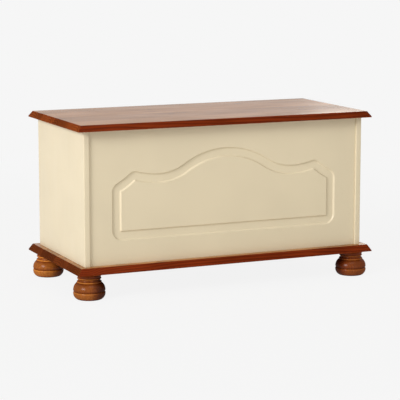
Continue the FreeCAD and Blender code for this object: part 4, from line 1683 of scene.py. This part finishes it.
def wood_screw(length, radius, head_radius, finish):
    """A countersunk screw that lies along Z with its head at 0."""
    neck = head_radius - radius
    pitch = THREAD_PITCH * radius
    head = [(0, 0), (head_radius - head_arris, 0), (head_radius - 1.5 * head_arris, 1.5 * head_arris)]
    shank_line = [(radius, neck), (radius, length - screw_point), (POINT_RADIUS * radius, length)]
    screw = turned(
        "screw",
        head + stepped(shank_line, pitch / 4) + [(0, length)],
        Steps_round=20,
        Thread_depth=THREAD_DEPTH * radius,
        Thread_pitch=pitch,
        Cut_from=neck + THREAD_START * radius,
        Cut_to=length,
        Finish=finish,
    )
    cross = [share * head_radius for share in (CROSS_REACH, CROSS_WIDTH, CROSS_DEPTH)]
    return cut_away(screw, cross_punch(*cross))

# %% [markdown]
# Six kinds of screw hold the chest, its hinges, stays and battens.

# %% Drive the screws
screws = {
    # node: (body, direction, radius and head radius in mm, slot, finish)
    "base_screws": ("case", up, 2.5, 4.8, "zinc_steel", zinc_steel),
    "hinge_case_screws": ("case", down, 1.5, 2.9, "brassed_steel", brassed_steel),
    "hinge_lid_screws": ("lid", up, 1.5, 2.9, "brassed_steel", brassed_steel),
    "stay_stud_screws": ("case", outwards, 1.6, 3.2, "zinc_steel", zinc_steel),
    "stay_bracket_screws": ("lid", up, 1.6, 3.2, "zinc_steel", zinc_steel),
    "batten_screws": ("lid", up, 2.0, 4.0, "zinc_steel", zinc_steel),
}
for index, (node_name, settings) in enumerate(screws.items()):
    body, direction, radius, head_radius, slot, finish = settings
    places, length = places_of(node_name, direction)
    shape = wood_screw(length, radius * MM, head_radius * MM, finish)
    piece = set_out(node_name, places, shape, finish, chance=index)
    hand_over(piece, body, slot, node_name)

# %% [markdown]
# The beech dowels are fluted, so that glue can rise along them and air can leave the
# hole. A flute is a dip in the lathe's radius that comes round again and again.

# %% Dowels
dowel_radius = 4.0 * MM
dowel_chamfer = 1.0 * MM
flute_count = 16
flute_depth = 0.3 * MM
flute_end = 0.9 * dowel_chamfer
DOWEL_HEART = (0.03, 0.05, 0.0)


def pin_outline(length, radius, chamfer):
    """A plain round pin with chamfered ends."""
    return [
        (0, 0),
        (radius - chamfer, 0),
        (radius, chamfer),
        (radius, length - chamfer),
        (radius - chamfer, length),
        (0, length),
    ]


dowel_kinds = (("base_dowels", up, "Z", "X"), ("corner_dowels", inwards, "X", "Y"))
for node_name, direction, grain, across in dowel_kinds:
    places, length = places_of(node_name, direction)
    shape = turned(
        "dowel",
        pin_outline(length, dowel_radius, dowel_chamfer),
        Steps_round=96,
        Flutes=flute_count,
        Flute_depth=flute_depth,
        Cut_from=flute_end,
        Cut_to=length - flute_end,
        Finish=beech,
    )
    piece = set_out(node_name, places, shape, beech, chance=20)
    sawn_from_log(piece, grain, across, *DOWEL_HEART)
    hand_over(piece, "case", "beech", node_name)

# %% [markdown]
# Each foot hangs on a length of threaded rod, screwed half into the foot and half into
# the base.

# %% Foot screws
foot_bolt_radius = 4.0 * MM
foot_bolt_chamfer = 1.5 * MM
foot_bolt_pitch = 2.0 * MM
foot_bolt_thread = 0.8 * MM
foot_bolt_thread_end = 0.5 * foot_bolt_chamfer

places, length = places_of("foot_bolts", up)
shape = turned(
    "foot_bolt",
    stepped(pin_outline(length, foot_bolt_radius, foot_bolt_chamfer), foot_bolt_pitch / 4),
    Steps_round=32,
    Thread_depth=foot_bolt_thread,
    Thread_pitch=foot_bolt_pitch,
    Cut_from=foot_bolt_thread_end,
    Cut_to=length - foot_bolt_thread_end,
    Finish=zinc_steel,
)
rods = set_out("foot_bolts", places, shape, zinc_steel, chance=30)
hand_over(rods, "case", "zinc_steel", "foot_bolts")

# %% [markdown]
# The knock-down joints: a steel bolt stands out of the end board, its head catches in a
# round cam let into the long board, and a half turn of the cam draws the joint tight.
# The bolt is one outline: a thread, a smooth shank, a thin neck and a round head.

# %% Cam bolts
cam_bolt_radius = 3.0 * MM
cam_bolt_neck_radius = 1.8 * MM
cam_bolt_thread_length = 10.0 * MM
cam_bolt_neck_start = 29.0 * MM
cam_bolt_neck_end = 32.5 * MM
cam_bolt_rounding = 0.8 * MM
cam_bolt_pitch = 1.8 * MM
cam_bolt_thread = 0.6 * MM
cam_bolt_lead = 0.4 * MM
cam_bolt_thread_from = 0.3 * MM

places, length = places_of("cam_bolts", inwards)
thread_line = [
    (cam_bolt_radius - cam_bolt_pitch / 4, 0),
    (cam_bolt_radius, cam_bolt_lead),
    (cam_bolt_radius, cam_bolt_thread_length),
]
shape = turned(
    "cam_bolt",
    [(0, 0)] + stepped(thread_line, cam_bolt_pitch / 4) + [
        (cam_bolt_radius, cam_bolt_neck_start),
        (cam_bolt_neck_radius, cam_bolt_neck_start),
        (cam_bolt_neck_radius, cam_bolt_neck_end),
        (cam_bolt_radius - cam_bolt_rounding, cam_bolt_neck_end),
        (cam_bolt_radius, cam_bolt_neck_end + cam_bolt_rounding),
        (cam_bolt_radius, length - cam_bolt_rounding),
        (cam_bolt_radius - cam_bolt_rounding, length),
        (0, length),
    ],
    Steps_round=32,
    Thread_depth=cam_bolt_thread,
    Thread_pitch=cam_bolt_pitch,
    Cut_from=cam_bolt_thread_from,
    Cut_to=cam_bolt_thread_length,
    Finish=zinc_steel,
)
bolts = set_out("cam_bolts", places, shape, zinc_steel, chance=40)
hand_over(bolts, "case", "zinc_steel", "cam_bolts")

# %% [markdown]
# The cam's face shows inside the chest, a dished disc with a cross. The hole where the
# bolt enters is cut after the cams are in place, because it must meet each bolt.

# %% Cams
cam_radius = 7.5 * MM
cam_dish = 0.7 * MM
cam_rim = 1.4 * MM
cam_arris = 0.3 * MM
cam_cross = (4.2 * MM, 1.7 * MM, 3.4 * MM)
BOLT_ROOM = 0.2 * MM

places, length = places_of("cam_locks", into_long_board)
shape = turned(
    "cam",
    [
        (0, cam_dish),
        (cam_radius - cam_rim - cam_dish, cam_dish),
        (cam_radius - cam_rim, 0),
        (cam_radius - cam_arris, 0),
        (cam_radius, cam_arris),
        (cam_radius, length - cam_arris),
        (cam_radius - cam_arris, length),
        (0, length),
    ],
    Steps_round=64,
    Finish=zinc_steel,
)
shape = cut_away(shape, cross_punch(*cam_cross))
cams = bored(set_out("cam_locks", places, shape, zinc_steel, chance=50), ("cam_bolts",), BOLT_ROOM)
hand_over(finished(smooth_curves(cams), zinc_steel), "case", "zinc_steel", "cam_locks")
